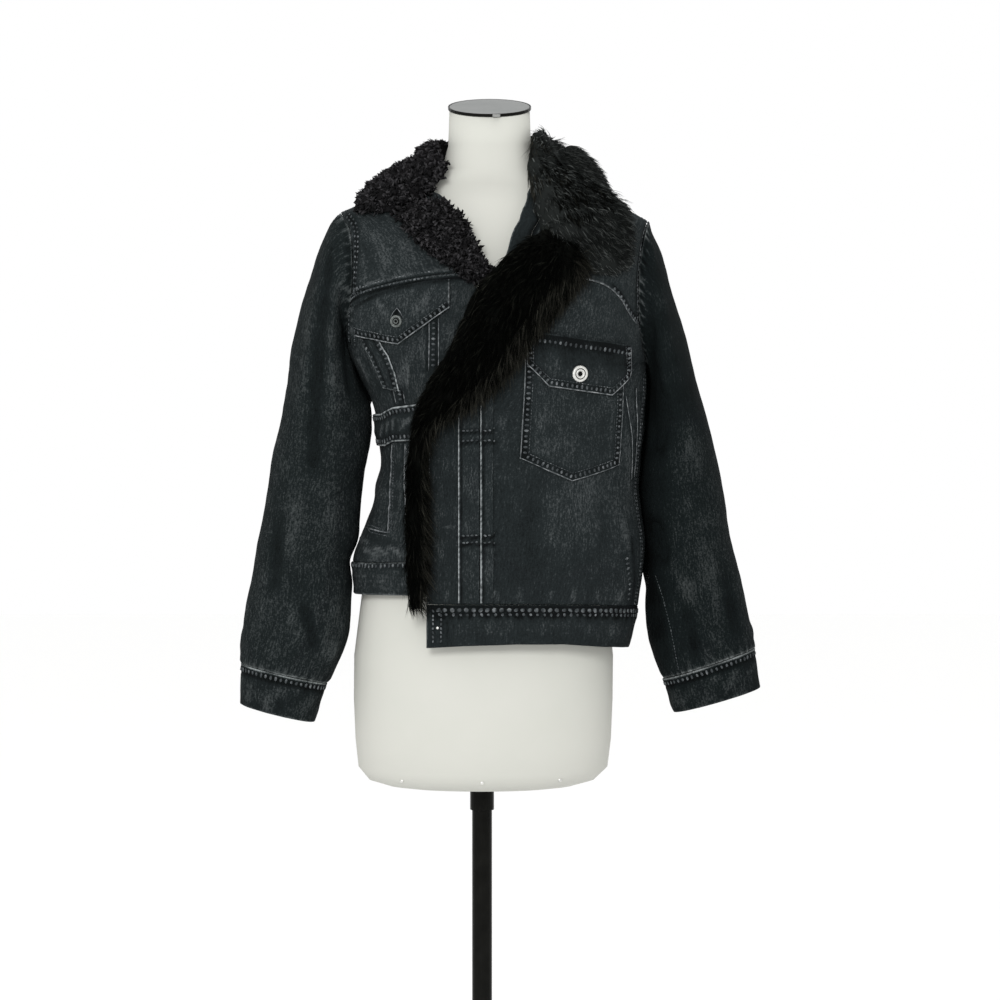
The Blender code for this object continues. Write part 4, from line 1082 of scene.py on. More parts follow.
def declare(cloth, piece, extra):
    """Rides the piece and what is on it, and hides its solid. The cut's width, length and area are worked out
    from its flat pattern, but not used.
    """
    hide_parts(cloth.name)
    for made in (piece, *extra):
        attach(made, BODY)
    rows = np.linalg.norm(np.diff(cloth.base, axis=1), axis=2).sum(1)
    columns = np.linalg.norm(np.diff(cloth.base, axis=0), axis=2).sum(0)
    if cloth.wraps:
        rows = rows + np.linalg.norm(cloth.base[:, 0] - cloth.base[:, -1], axis=1)
    width, length = float(rows.max()), float(columns.max())
    spans = np.cross(
        cloth.base[1:, 1:] - cloth.base[:-1, :-1], cloth.base[1:, :-1] - cloth.base[:-1, 1:]
    )
    area = float(np.linalg.norm(spans, axis=2).sum() / 2)
    area = min(max(area, 0.31 * width * length), width * length)


def finish_cloth(cloth, material=BODY_DENIM):
    """Builds a cloth piece with its stitches. It keeps its solid's name, with a word for what it is."""
    piece = cloth.build(cloth.name + "_cloth", material)
    sewn_on = (stitch_mesh(cloth, PALE_THREAD), welt_mesh(cloth, WELT_DENIM))
    declare(cloth, piece, [made for made in sewn_on if made])


# ---- the jacket's right half


def side_lines(bottom, top):
    """A panel's four lines, where its inner and outer ones are straight from bottom to top."""
    return bottom, top, [bottom[0], top[0]], [bottom[-1], top[-1]]


RIGHT_YOKE_SEAM = R.front_line((-8, 643), (-30, 642), (-79, 636), (-119, 628)) + upright(FRONT_SIDE, 608)
RIGHT_YOKE_SEAM = flowing(RIGHT_YOKE_SEAM)
RIGHT_WAIST_SEAM = R.front_line((-14, 460), (-50, 458), (-86, 455), (-115, 451)) + upright(FRONT_SIDE, 448)
RIGHT_HEM_SEAM = R.front_line((-38, 286), (-68, 286), (-98, 286), (-132, 284)) + upright(FRONT_SIDE, 282)
RIGHT_HEM = R.front_line((-40, 245), (-68, 245), (-98, 245), (-132, 244)) + upright(FRONT_SIDE, 242)
RIGHT_BACK_YOKE_SEAM = [(CENTRE_BACK, 640), *R.back_line((60, 640), (115, 632)), (BACK_SIDE, 618)]
RIGHT_BACK_HEM_SEAM = [(CENTRE_BACK, 280), *R.back_line((60, 280), (120, 281)), (BACK_SIDE, 282)]
RIGHT_BACK_HEM = [(CENTRE_BACK, 240), *R.back_line((60, 240), (120, 241)), (BACK_SIDE, 242)]
RIGHT_LAPEL_EDGE = R.front_line((-8, 643), (-22, 688), (-40, 712), (-54, 738)) + upright(FRONT_SIDE, 768)
RIGHT_LAPEL_EDGE = flowing(RIGHT_LAPEL_EDGE)

RIGHT_ARMHOLE_SEEN = [(346, 216), (354, 230), (354.8, 262), (353, 299)]
RIGHT_YOKE_FOLDS = (
    Fold([(367, 228), (381, 246), (390, 271)], 0.006, 0.0012),
    Fold([(360, 240), (371, 262), (374, 284)], 0.005, -0.0009),
    Fold([(398, 236), (409, 255), (428, 268)], 0.006, 0.0009),
)


def right_front_yoke():
    ridge = upright(FRONT_SIDE, 768, 755, 743, 730, 716)
    armhole = upright(FRONT_SIDE, 608, 640, 672, 698, 716)
    cloth = panel("right_front_yoke", R, (RIGHT_YOKE_SEAM, ridge, RIGHT_LAPEL_EDGE, armhole), FRONT_STEP)
    cloth.unevenness(0.05, 0.0005, 11, 0.02)
    armhole = cloth.seen(RIGHT_ARMHOLE_SEEN)
    # painted shade beside the armhole seam
    cloth.crease(cloth.beside(armhole, 0.003), 0.0045, -0.0002, -0.3)
    for shift in (0.0, 0.0058):
        cloth.sew(armhole, PUCKER_ROW._replace(width=0.003), shift)
    cloth.press("outer", 0.007, 0.006, 0.0006, 0.16, period=0.011, seed=1)
    cloth.sew_side("bottom", 0.0042, PLAIN_ROW)
    cloth.press("bottom", 0.0042, 0.0022, 0.0006, 0.32, seed=2)
    # painted shade in a groove along the bottom edge
    cloth.press("bottom", 0.0006, 0.0016, -0.0004, -0.3)
    cloth.rub("outer", 0.35, seed=3)
    cloth.folds(RIGHT_YOKE_FOLDS)
    finish_cloth(cloth)


CHEST_SIDE_ROWS = ([(352, 303), (349, 318), (349.5, 341)], [(358, 303), (355, 318), (355, 346)])
CHEST_SIDE_RIDGE = [(352, 303), (351, 345)]
CHEST_SLIT_WELTS = ([(429, 318), (429, 346), (428.5, 371)], [(438.5, 318), (438.5, 346), (438, 371)])
CHEST_SLIT_ROW = [(433.5, 320), (433.5, 346), (433, 370)]
CHEST_SLIT_RIDGE = [(421, 300), (424, 345), (422, 392)]
CHEST_DART = [(408, 360), (407.5, 396)]
CHEST_LOOP_WELTS = ([(393, 391), (396, 404)], [(403, 393), (405, 404)])
CHEST_LOOP_ROWS = ([(399, 392), (401, 404)], [(381, 385), (392, 389), (404, 393)])
CHEST_FOLDS = (
    Fold([(352, 352), (362, 366), (371, 388)], 0.005, 0.0014),
    Fold([(360, 352), (376, 380), (380, 402)], 0.004, -0.0012),
    Fold([(412, 350), (402, 374), (398, 392)], 0.006, 0.0011),
)


def right_front_chest():
    edge = R.front_line((-14, 460), (-12, 515), (-10, 558), (-9, 600), (-8, 643))
    side = upright(FRONT_SIDE, 448, 503, 557.5, 583, 608)
    cloth = panel("right_front_chest", R, (RIGHT_WAIST_SEAM, RIGHT_YOKE_SEAM, edge, side), FRONT_STEP)
    cloth.unevenness(0.05, 0.0005, 12, 0.024)
    cloth.sew_side("top", 0.003, CHUNKY_ROW)
    cloth.press("top", 0.003, 0.002, 0.0005, 0.28, seed=1)
    # painted shadow below the yoke seam's lower row
    cloth.press("top", 0.0078, 0.0026, -0.001, -0.55, seed=4)
    for spots in CHEST_SIDE_ROWS:
        cloth.sew(cloth.seen(spots), CHUNKY_ROW)
    cloth.crease(cloth.seen(CHEST_SIDE_RIDGE), 0.005, 0.0006, 0.2, period=0.011)
    for spots in CHEST_SLIT_WELTS:
        cloth.welt(cloth.seen(spots), 0.7)
    cloth.sew(cloth.seen(CHEST_SLIT_ROW), PUCKER_ROW)
    cloth.crease(cloth.seen(CHEST_SLIT_RIDGE), 0.004, 0.0008, 0.12, fade=0.3)
    cloth.crease(cloth.seen(CHEST_DART), 0.0015, 0.0009, 0.3, fade=0.3)
    for spots in CHEST_LOOP_WELTS:
        cloth.welt(cloth.seen(spots), 0.8)
    for spots in CHEST_LOOP_ROWS:
        cloth.sew(cloth.seen(spots), PUCKER_ROW)
    cloth.folds(CHEST_FOLDS, 0.14, -0.16)
    finish_cloth(cloth)


SKIRT_WELTS = (
    [(391.5, 444), (390.5, 470), (389.5, 500), (388, 533)],
    [(404.5, 444), (405, 480), (405.5, 530)],
)
SKIRT_POCKET_MOUTH = [(363, 526), (371, 529), (389, 533)]
SKIRT_TUCKS = (
    Fold([(362, 548), (372, 553), (380, 561)], 0.0026, 0.0013),
    Fold([(372, 546), (383, 552), (391, 558)], 0.0026, 0.0013),
    Fold([(384, 545), (396, 551), (404, 560)], 0.0026, 0.0013),
    Fold([(358, 534), (364, 541), (373, 544)], 0.0026, 0.0013),
)
SKIRT_FOLDS = (
    Fold([(381, 455), (375, 490), (369, 520)], 0.006, 0.0012),
    Fold([(398, 455), (397, 495), (396, 525)], 0.006, -0.0008),
    Fold([(366, 532), (378, 541), (401, 545)], 0.006, -0.0011),
)


def right_front_skirt():
    edge = R.front_line((-38, 286), (-30, 344), (-22, 402), (-14, 460))
    side = upright(FRONT_SIDE, 282, 337, 392, 448)
    cloth = panel("right_front_skirt", R, (RIGHT_HEM_SEAM, RIGHT_WAIST_SEAM, edge, side), FRONT_STEP)
    cloth.unevenness(0.045, 0.0006, 13, 0.028)
    for spots in SKIRT_WELTS:
        path = cloth.seen(spots)
        cloth.welt(path)
        cloth.crease(path, 0.004, 0.0004, 0.12, period=0.0092, seed=5)
        cloth.sew(path, FINE_ROW, 0.0024)
        cloth.sew(path, FINE_ROW, 0.0056)
    mouth = cloth.seen(SKIRT_POCKET_MOUTH)
    cloth.crease(mouth, 0.002, 0.0013, 0.2, seed=6)
    cloth.welt(mouth, 0.8)
    cloth.sew(mouth, FINE_ROW, -0.004)
    cloth.folds(SKIRT_TUCKS, 0.3, fade=0.25)
    cloth.folds(SKIRT_FOLDS, 0.12, -0.12)
    cloth.rub("inner", 0.4, seed=7)
    finish_cloth(cloth)


def right_front_hem_band():
    cloth = panel("right_front_hem_band", R, side_lines(RIGHT_HEM, RIGHT_HEM_SEAM), FRONT_STEP, 0, BAND)
    for row, share in enumerate((0.2, 0.38, 0.56, 0.75)):
        spots = [(0.02, share), (0.25, share + 0.04), (0.5, share - 0.05), (0.75, share + 0.05)]
        path = cloth.shares(spots + [(0.98, share)])
        cloth.crease(path, 0.0024, 0.001, 0.1, fade=0.1, seed=row * 1.7)
    cloth.press("top", 0.004, 0.0045, 0.0012, -0.1, period=0.0125, seed=1)
    cloth.sew_side("top", 0.004, PUCKER_ROW)
    cloth.crease(cloth.shares([(0.02, 0.45), (0.5, 0.4), (0.98, 0.45)]), 0.03, 0.0, -0.05)
    cloth.rub("bottom", 0.35, seed=3)
    cloth.rub("top", 0.35, seed=4)
    cloth.unevenness(0.03, 0.0004, 14, 0.032)
    finish_cloth(cloth)


def right_side_band():
    bottom = R.front_line((-102, 497), (-122, 501))
    top = R.front_line((-126, 560), (-150, 562))
    inner = [bottom[0], *R.front_line((-107, 520), (-115, 541)), top[0]]
    outer = [bottom[-1], *R.front_line((-130, 521), (-139, 541)), top[-1]]
    lift = DENIM + 1.4 * LAY_GAP
    cloth = panel("right_side_band", R, (bottom, top, inner, outer), FRONT_STEP, lift, PRESSED_STRIP)
    cloth.rub("inner", 0.9, 0.0012, seed=1)
    cloth.rub("outer", 0.6, 0.001, seed=2)
    cloth.rub("bottom", 0.6, 0.001, seed=3)
    for side in ("inner", "outer"):
        cloth.sew_side(side, 0.0046, PUCKER_ROW)
        # painted shade in a groove beside each row
        cloth.press(side, 0.0078, 0.0012, -0.0005, -0.35)
    cloth.unevenness(0.03, 0.0002, 15, 0.024)
    finish_cloth(cloth)


BUTTONHOLE_TAIL = [(396.7, 310), (396, 322)]
BUTTONHOLE_RIM = [(390, 318), (393, 312.5), (396.7, 308), (400, 312), (402.5, 317)]
RIGHT_FLAP_FOLDS = (
    Fold([(372, 296), (384, 312), (388, 326)], 0.005, 0.0007),
    Fold([(430, 286), (421, 305), (408, 316)], 0.006, 0.0007),
)


def right_pocket_flap():
    bottom = R.front_line((-41, 598), (-71, 577), (-102, 555), (-130, 561), (-155, 567))
    top = R.front_line((-41, 632), (-71, 630), (-102, 624), (-130, 615), (-155, 600))
    lift = DENIM + PRESSED_STRIP + 2.7 * LAY_GAP
    cloth = panel("right_pocket_flap", R, side_lines(bottom, top), FRONT_STEP * 0.8, lift, FLAP_CLOTH)
    cloth.rub("bottom", 0.6, 0.0015, seed=1)
    cloth.welt(cloth.border("bottom", 0.0011), 0.75)
    cloth.rub("inner", 0.5, 0.001, seed=2)
    # painted shade in the groove along the stitches
    cloth.press("bottom", 0.0052, 0.0034, -0.0002, -0.3, start=0.03)
    cloth.sew_side("bottom", 0.0054, PUCKER_ROW, start=0.03)
    cloth.sew_side("bottom", 0.0098, start=0.03)
    cloth.press("bottom", 0.0115, 0.003, 0.0004, 0.1, start=0.03, period=0.0098)
    # painted shade along the sewn top
    cloth.press("top", 0.002, 0.003, -0.0006, -0.4)
    cloth.folds(RIGHT_FLAP_FOLDS, 0.14)
    # painted shade in the buttonhole's slit
    cloth.crease(cloth.seen(BUTTONHOLE_TAIL), 0.0016, -0.0008, -0.9)
    cloth.welt(cloth.seen(BUTTONHOLE_RIM), 0.8)
    cloth.unevenness(0.03, 0.0003, 16, 0.024)
    finish_cloth(cloth)


def right_waist_tab():
    bottom = [*R.front_line((-64, 437), (-109, 434)), (-24, 428), (0.5, 427), (24, 428)]
    bottom += R.back_line((100, 430), (60, 431))
    top = [*R.front_line((-64, 484), (-109, 478)), (-24, 469), (0.5, 467), (24, 468)]
    top += R.back_line((100, 471), (60, 472))
    cloth = panel("right_waist_tab", R, side_lines(bottom, top), FRONT_STEP, DENIM + 2 * LAY_GAP, BAND)
    cloth.rub("top", 0.95, 0.0016, seed=1)
    cloth.rub("bottom", 0.85, 0.0014, seed=2)
    cloth.rub("inner", 0.5, seed=3)
    for side in ("top", "bottom"):
        # painted shade in a groove along each row
        cloth.press(side, 0.0055, 0.0042, -0.0002, -0.3)
        cloth.sew_side(side, 0.0058, PUCKER_ROW)
    for number, share in enumerate((0.04, 0.1, 0.17, 0.25, 0.34, 0.45, 0.56, 0.66, 0.77, 0.88)):
        lean = 0.05 + 0.02 * math.sin(number * 2.3)
        path = cloth.shares([(share - lean / 2, 0.72), (share, 0.5), (share + lean / 2, 0.25)])
        cloth.crease(path, 0.003, 0.0012, 0.28, fade=0.3, seed=number)
        # painted shade in the hollow beside each pucker
        cloth.crease(cloth.beside(path, 0.0055), 0.0028, -0.0009, -0.2, fade=0.3)
    finish_cloth(cloth)


RIGHT_BACK_YOKE_FOLDS = (
    Fold([(-60, 700), (-95, 675), (-120, 650)], 0.007, 0.0012),
    Fold([(-25, 690), (-60, 664), (-90, 650)], 0.007, -0.001),
)


def back_yoke(name, half, seam, ridge_heights, armhole_heights, seed, folds):
    ridge = [(CENTRE_BACK, 770), *upright(BACK_SIDE, *ridge_heights)]
    centre = upright(CENTRE_BACK, 640, 690, 735, 770)
    armhole = upright(BACK_SIDE, *armhole_heights)
    cloth = panel(name, half, (seam, ridge, centre, armhole), BACK_STEP)
    cloth.unevenness(0.05, 0.0006, seed, 0.024)
    cloth.top_stitch("outer", 0.003, seed=1)
    cloth.rub("bottom", 0.4, seed=2)
    cloth.folds(folds, cast=cloth.behind)
    finish_cloth(cloth)


def right_back_yoke():
    ridge, armhole = (768, 742, 716), (618, 655, 690, 716)
    back_yoke("right_back_yoke", R, RIGHT_BACK_YOKE_SEAM, ridge, armhole, 17, RIGHT_BACK_YOKE_FOLDS)


RIGHT_BACK_FOLDS = (
    Fold([(-20, 545), (-45, 510), (-80, 485)], 0.007, 0.0014),
    Fold([(-130, 470), (-95, 458), (-60, 470)], 0.007, -0.0012),
    Fold([(-30, 420), (-60, 400), (-110, 398)], 0.007, 0.0013),
    Fold([(-72, 370), (-76, 340), (-70, 305)], 0.007, 0.0012),
    Fold([(-120, 540), (-105, 505), (-110, 470)], 0.007, 0.0012),
)


def right_back():
    centre = upright(CENTRE_BACK, 280, 360, 440, 520, 560, 600, 640)
    side = upright(BACK_SIDE, 282, 345, 410, 480, 557.5, 588, 618)
    cloth = panel("right_back", R, (RIGHT_BACK_HEM_SEAM, RIGHT_BACK_YOKE_SEAM, centre, side), BACK_STEP)
    cloth.unevenness(0.055, 0.0007, 18, 0.024)
    cloth.top_stitch("top", 0.002, seed=1)
    # painted shadow below the yoke seam
    cloth.press("top", 0.0112, 0.0018, -0.0011, -0.5, seed=2)
    cloth.top_stitch("inner", 0.002, seed=3)
    for x in (-52, -98):
        cloth.seam(cloth.behind([(x, 632), (x * 0.86, 480), (x * 0.95, 300)]), seed=x)
    cloth.folds(RIGHT_BACK_FOLDS, 0.12, -0.12, cast=cloth.behind)
    finish_cloth(cloth)


def right_back_hem_band():
    lines = side_lines(RIGHT_BACK_HEM, RIGHT_BACK_HEM_SEAM)
    cloth = panel("right_back_hem_band", R, lines, BACK_STEP * 0.8, 0, BAND)
    for row, share in enumerate((0.25, 0.5, 0.75)):
        spots = [(0.02, share), (0.3, share + 0.05), (0.6, share - 0.05), (0.98, share)]
        cloth.crease(cloth.shares(spots), 0.0034, 0.0009, 0.22, fade=0.1, seed=row * 2.1)
    cloth.top_stitch("top", 0.002, rows=1, seed=1)
    cloth.top_stitch("bottom", 0.0022, rows=1, seed=2)
    cloth.rub("bottom", 0.7, seed=3)
    finish_cloth(cloth)


# ---- the jacket's left half

SIDE_TURN = 15.0  # the side panel reaches this far round to the front and to the back

LEFT_YOKE_SEAM = L.front_line((44, 642), (95, 639), (145, 627), (166, 611), (179, 589))
LEFT_YOKE_SEAM = flowing(LEFT_YOKE_SEAM + upright(FRONT_SIDE, 568))
LEFT_TOP_SEAM = [L.front(14, 643), *LEFT_YOKE_SEAM]
LEFT_FACING_SEAM = L.front_line((44, 642), (57, 668), (64, 700), (76, 735)) + upright(FRONT_SIDE, 756)
LEFT_FACING_SEAM = flowing(LEFT_FACING_SEAM)
LEFT_OPENING = L.front_line((14, 643), (27, 663), (38, 697), (51, 727), (62, 750))
LEFT_OPENING = flowing(LEFT_OPENING + upright(FRONT_SIDE, 766))
LEFT_BAND_SEAM = L.front_line((-70, 236), (-22, 236), (40, 236), (98, 235), (146, 233))
LEFT_BAND_SEAM += upright(-SIDE_TURN, 229)
LEFT_BACK_YOKE_SEAM = [(CENTRE_BACK, 640), *L.back_line((60, 640), (125, 632)), (BACK_SIDE, 618)]
LEFT_SIDE_HEIGHTS = (278, 329, 380, 431, 482)
LEFT_UNDERARM = 515


def left_front_yoke():
    ridge = upright(FRONT_SIDE, 756, 743, 731, 719, 706)
    armhole = upright(FRONT_SIDE, 568, 604, 640, 676, 706)
    cloth = panel("left_front_yoke", L, (LEFT_YOKE_SEAM, ridge, LEFT_FACING_SEAM, armhole), FRONT_STEP)
    cloth.unevenness(0.05, 0.0005, 21, 0.024)
    cloth.rub("outer", 0.9, 0.0013, seed=2)
    cloth.rub("bottom", 0.6, 0.0012, seed=3)
    # painted shade in the groove along the outer rows
    cloth.press("outer", 0.0052, 0.004, -0.0002, -0.25)
    cloth.sew_side("outer", 0.0054, PUCKER_ROW)
    cloth.sew_side("outer", 0.0098)
    cloth.sew_side("bottom", 0.005, PUCKER_ROW, start=0.5)
    # painted shade in a groove beside the bottom row
    cloth.press("bottom", 0.0088, 0.0014, -0.0006, -0.4, start=0.5)
    # painted shade in a groove inside the outer rows
    cloth.press("outer", 0.0135, 0.0022, -0.001, -0.4, start=0.1, seed=4)
    # painted shade along the inner edge, under the collar
    cloth.press("inner", 0.0008, 0.0025, 0.0, -0.6)
    finish_cloth(cloth)


FACING_SHADE = [(530, 195), (524, 222), (522, 250)]


def left_neck_facing():
    neck = upright(FRONT_SIDE, 766, 756)
    seam = L.front_line((14, 643), (44, 642))
    cloth = panel("left_neck_facing", L, (seam, neck, LEFT_OPENING, LEFT_FACING_SEAM), FRONT_STEP * 0.8)
    cloth.unevenness(0.035, 0.0005, 22, 0.024)
    cloth.rub("inner", 0.4, 0.0009, seed=1)
    cloth.crease(cloth.seen(FACING_SHADE), 0.03, 0.0, -0.2)
    # painted shade at the seam under the collar
    cloth.press("outer", 0.0008, 0.0025, 0.0, -0.6)
    finish_cloth(cloth)


FRONT_PLEAT_LINE = [(487.5, 442), (489, 520), (491, 600)]
FRONT_TAPE_BARS = tuple([(462, y + 2), (478, y), (495, y - 1)] for y in (429, 442, 534, 544))
FRONT_TAPE_END = [(441, 528), (449, 527), (457, 528)]
FRONT_SIDE_ROW = [(626, 556), (629, 580), (628, 602)]
FRONT_SIDE_HOLLOW = [(632, 540), (635, 575), (632, 602)]
FRONT_SIDE_WELTS = ([(626, 396), (632, 440), (631, 480)], [(636, 388), (637, 440), (634, 478)])
FRONT_SIDE_RIDGE = [(620, 500), (626, 540), (628, 574), (627, 602)]
FRONT_FOLDS = (
    Fold([(626, 420), (630, 462), (626, 505)], 0.007, 0.001),
    Fold([(560, 487), (552, 520), (556, 560)], 0.009, 0.001),
    Fold([(540, 470), (530, 520), (533, 585)], 0.008, -0.0009),
    Fold([(600, 486), (606, 520), (600, 565)], 0.008, -0.0009),
    Fold([(505, 400), (502, 430), (508, 470)], 0.006, 0.0008),
    Fold([(470, 560), (472, 580), (470, 603)], 0.005, 0.001),
    Fold([(440, 470), (438, 530), (442, 590)], 0.007, 0.0008),
)
FRONT_PUCKER_PLACES = (447, 470, 497, 521, 548, 574, 600, 618)
FRONT_PUCKER_ENDS = (588, 596, 604)
# Soft paler and darker bands over the front.
FRONT_TONE_BANDS = (
    ToneBand([(585, 492), (585, 500), (584, 512)], 0.03, 0.1),
    ToneBand([(520, 560), (560, 590), (600, 580)], 0.07, -0.07),
    ToneBand([(505, 400), (508, 480), (515, 560)], 0.05, -0.1),
    ToneBand([(440, 440), (440, 520), (440, 600)], 0.04, -0.08),
)


def tape_bar(cloth, path):
    """A thick row of stitches that holds the pleats down, with a hollow of painted shade below it."""
    cloth.sew(path, CHUNKY_ROW)
    cloth.crease(cloth.beside(path, -0.003), 0.0018, -0.0006, -0.5)


def left_front():
    edge = L.front_line(*((-70, height) for height in (236, 284, 332, 380, 425, 461)))
    edge += L.front_line((-52, 500), (-17, 552), (2, 600), (14, 643))
    side = upright(-SIDE_TURN, 229, *LEFT_SIDE_HEIGHTS, LEFT_UNDERARM) + upright(FRONT_SIDE, 531, 548, 568)
    cloth = panel("left_front", L, (LEFT_BAND_SEAM, LEFT_TOP_SEAM, edge, side), FRONT_STEP)
    cloth.unevenness(0.06, 0.0006, 23, 0.024)
    cloth.unevenness(0.025, 0.00015, 24, 0.02)
    cloth.crease(cloth.seen(FRONT_PLEAT_LINE), 0.0013, 0.0006, 0.2, seed=3)
    for spots in FRONT_TAPE_BARS:
        tape_bar(cloth, cloth.seen(spots))
    cloth.crease(cloth.seen(FRONT_TAPE_END), 0.002, 0.0008, 0.2, fade=0.3)
    cloth.sew(cloth.seen(FRONT_SIDE_ROW), PUCKER_ROW)
    # painted shade in the hollow by the side seam
    cloth.crease(cloth.seen(FRONT_SIDE_HOLLOW), 0.004, -0.0006, -0.35)
    for spots in FRONT_SIDE_WELTS:
        cloth.welt(cloth.seen(spots), 0.6)
    cloth.crease(cloth.seen(FRONT_SIDE_RIDGE), 0.007, 0.0009, 0.1, fade=0.25)
    cloth.folds(FRONT_FOLDS, fade=0.35)
    high, middle, low = FRONT_PUCKER_ENDS
    for number, x in enumerate(FRONT_PUCKER_PLACES):
        lean = 5 * math.sin(number * 1.9)
        spots = [(x + lean, high), (x + lean / 2, middle), (x, low)]
        cloth.crease(cloth.seen(spots), 0.003, 0.001, 0.22, fade=0.3, seed=number)
    cloth.tone_bands(FRONT_TONE_BANDS)
    cloth.rub("inner", 0.5, seed=5)
    cloth.sew_side("inner", 0.003, FINE_ROW, 0.0, 0.55)
    finish_cloth(cloth)


Pleat = namedtuple("Pleat", "name low high seed")
PLEATS = (Pleat("left_pleat_inner", -31, -5, 1), Pleat("left_pleat_outer", -4, 12, 2))
PLEAT_BARS = (431, 441, 536, 543)
PLEAT_VIEW_START = 486.0  # where a pleat's inner and outer edge are in the view, for a place at 0
PLEAT_VIEW_END = 483.0


def left_pleats():
    """Two pressed pleats with a worn fold each, from the fur's edge down to the waistband."""
    for name, low, high, seed in PLEATS:
        lines = side_lines(L.front_line((low, 238), (high, 238)), L.front_line((low, 505), (high, 528)))
        cloth = panel(name, L, lines, FRONT_STEP, DENIM + LAY_GAP, PRESSED_STRIP)
        cloth.unevenness(0.05, 0.0003, 25 + seed, 0.06)
        cloth.rub("inner", 0.85, 0.0013, seed=seed)
        # painted shade in the groove beside the pleat's fold
        cloth.press("inner", 0.0038, 0.0018, -0.0006, -0.45)
        start, end = low / VIEW_FIELD + PLEAT_VIEW_START, high / VIEW_FIELD + PLEAT_VIEW_END
        for y in PLEAT_BARS:
            tape_bar(cloth, cloth.seen([(start, y), (end, y - 1)], curved=False))
        finish_cloth(cloth)


POCKET_DARK_BAND = [(548, 430), (575, 436), (600, 430)]
POCKET_FOLDS = (
    Fold([(546, 402), (540, 436), (544, 470)], 0.008, 0.0009),
    Fold([(602, 404), (604, 436), (598, 466)], 0.008, -0.0008),
)


def left_chest_pocket():
    bottom = L.front_line((43.5, 415), (76, 400), (107, 386), (137, 395), (165, 405))
    top = L.front_line((49, 549), (79, 549), (108, 547), (137, 545), (166, 542))
    lift = DENIM + 1.6 * LAY_GAP
    cloth = panel("left_chest_pocket", L, side_lines(bottom, top), FRONT_STEP, lift, POCKET_CLOTH)
    cloth.unevenness(0.05, 0.0005, 31, 0.028)
    cloth.unevenness(0.02, 0.00015, 32, 0.02)
    for side, seed in (("bottom", 1), ("inner", 2), ("outer", 3)):
        cloth.rub(side, 0.5, 0.0012, seed=seed)
        cloth.welt(cloth.border(side, 0.0009), 0.5)
        # painted shade in the groove along the rows
        cloth.press(side, 0.0058, 0.0042, -0.0002, -0.25)
        cloth.sew_side(side, 0.0058, PUCKER_ROW, 0.05, 0.95)
        cloth.sew_side(side, 0.0104, FINE_ROW, 0.08, 0.92)
    cloth.crease(cloth.seen(POCKET_DARK_BAND), 0.05, 0.0, -0.02)
    cloth.folds(POCKET_FOLDS, 0.08, -0.08)
    finish_cloth(cloth)


LEFT_FLAP_FOLDS = (
    Fold([(548, 344), (556, 360), (558, 376)], 0.006, 0.0007),
    Fold([(606, 350), (600, 366), (604, 384)], 0.006, 0.0007),
)


def left_pocket_flap():
    bottom = L.front_line((51.5, 531), (78, 503), (116, 497), (153, 491), (175, 513))
    top = L.front_line((50.5, 570), (82, 567), (116, 562), (148, 558), (176, 553))
    lift = DENIM + 1.6 * LAY_GAP + POCKET_CLOTH + 2.1 * LAY_GAP
    cloth = panel("left_pocket_flap", L, side_lines(bottom, top), FRONT_STEP * 0.8, lift, FLAP_CLOTH)
    cloth.unevenness(0.035, 0.0004, 33, 0.028)
    for side, seed, wear in (("bottom", 1, 0.85), ("inner", 2, 0.7), ("outer", 3, 0.7), ("top", 4, 0.3)):
        cloth.rub(side, wear * 0.6, 0.0013, seed=seed)
        if side != "top":
            cloth.welt(cloth.border(side, 0.0011), 0.4 + 0.35 * (side == "bottom"))
    for side, start in (("bottom", 0.04), ("inner", 0.2), ("outer", 0.2)):
        # painted shade in the groove along the rows
        cloth.press(side, 0.0055, 0.0038, -0.0002, -0.25, start, 0.96)
        cloth.sew_side(side, 0.0056, PUCKER_ROW, start, 0.96)
        cloth.sew_side(side, 0.01, FINE_ROW, start, 0.96)
    # painted shade in two grooves along the top
    for inset in (0.0025, 0.0052):
        cloth.press("top", inset, 0.0011, -0.0005, -0.5)
    cloth.sew_side("top", 0.0095, PUCKER_ROW)
    cloth.press("top", 0.012, 0.02, 0.0, -0.34)
    cloth.folds(LEFT_FLAP_FOLDS, 0.12)
    finish_cloth(cloth)


SIDE_PANEL_FOLDS = (
    Fold([(0.5, 0.2), (0.42, 0.5), (0.55, 0.85)], 0.007, 0.0012),
    Fold([(0.3, 0.1), (0.6, 0.2), (0.8, 0.28)], 0.006, -0.001),
)


def left_side_panel():
    turns = (-SIDE_TURN, -SIDE_TURN / 2, 0.01, SIDE_TURN / 2, SIDE_TURN)
    bottom = [(turn, 227 + max(-turn, 0) / SIDE_TURN * 2) for turn in turns]
    top = [(turn, 531 - abs(turn) / SIDE_TURN * (531 - LEFT_UNDERARM)) for turn in turns]
    front = upright(-SIDE_TURN, 229, *LEFT_SIDE_HEIGHTS, LEFT_UNDERARM)
    back = upright(SIDE_TURN, 227, *LEFT_SIDE_HEIGHTS, LEFT_UNDERARM)
    cloth = panel("left_side_panel", L, (bottom, top, front, back), FRONT_STEP * 1.2)
    cloth.unevenness(0.05, 0.0006, 34, 0.032)
    cloth.top_stitch("inner", 0.002, seed=1)
    cloth.top_stitch("outer", 0.002, seed=2)
    cloth.folds(SIDE_PANEL_FOLDS, 0.1, -0.12, cast=cloth.shares)
    finish_cloth(cloth)


WAISTBAND_BARS = ([(433, 609), (433, 645)], [(441, 609), (441, 645)])
WAISTBAND_HOLLOW = [(447, 608), (447, 647)]
GATHERED_ROW = Row(0.0086, 0.0052, 0.005, 0.001)


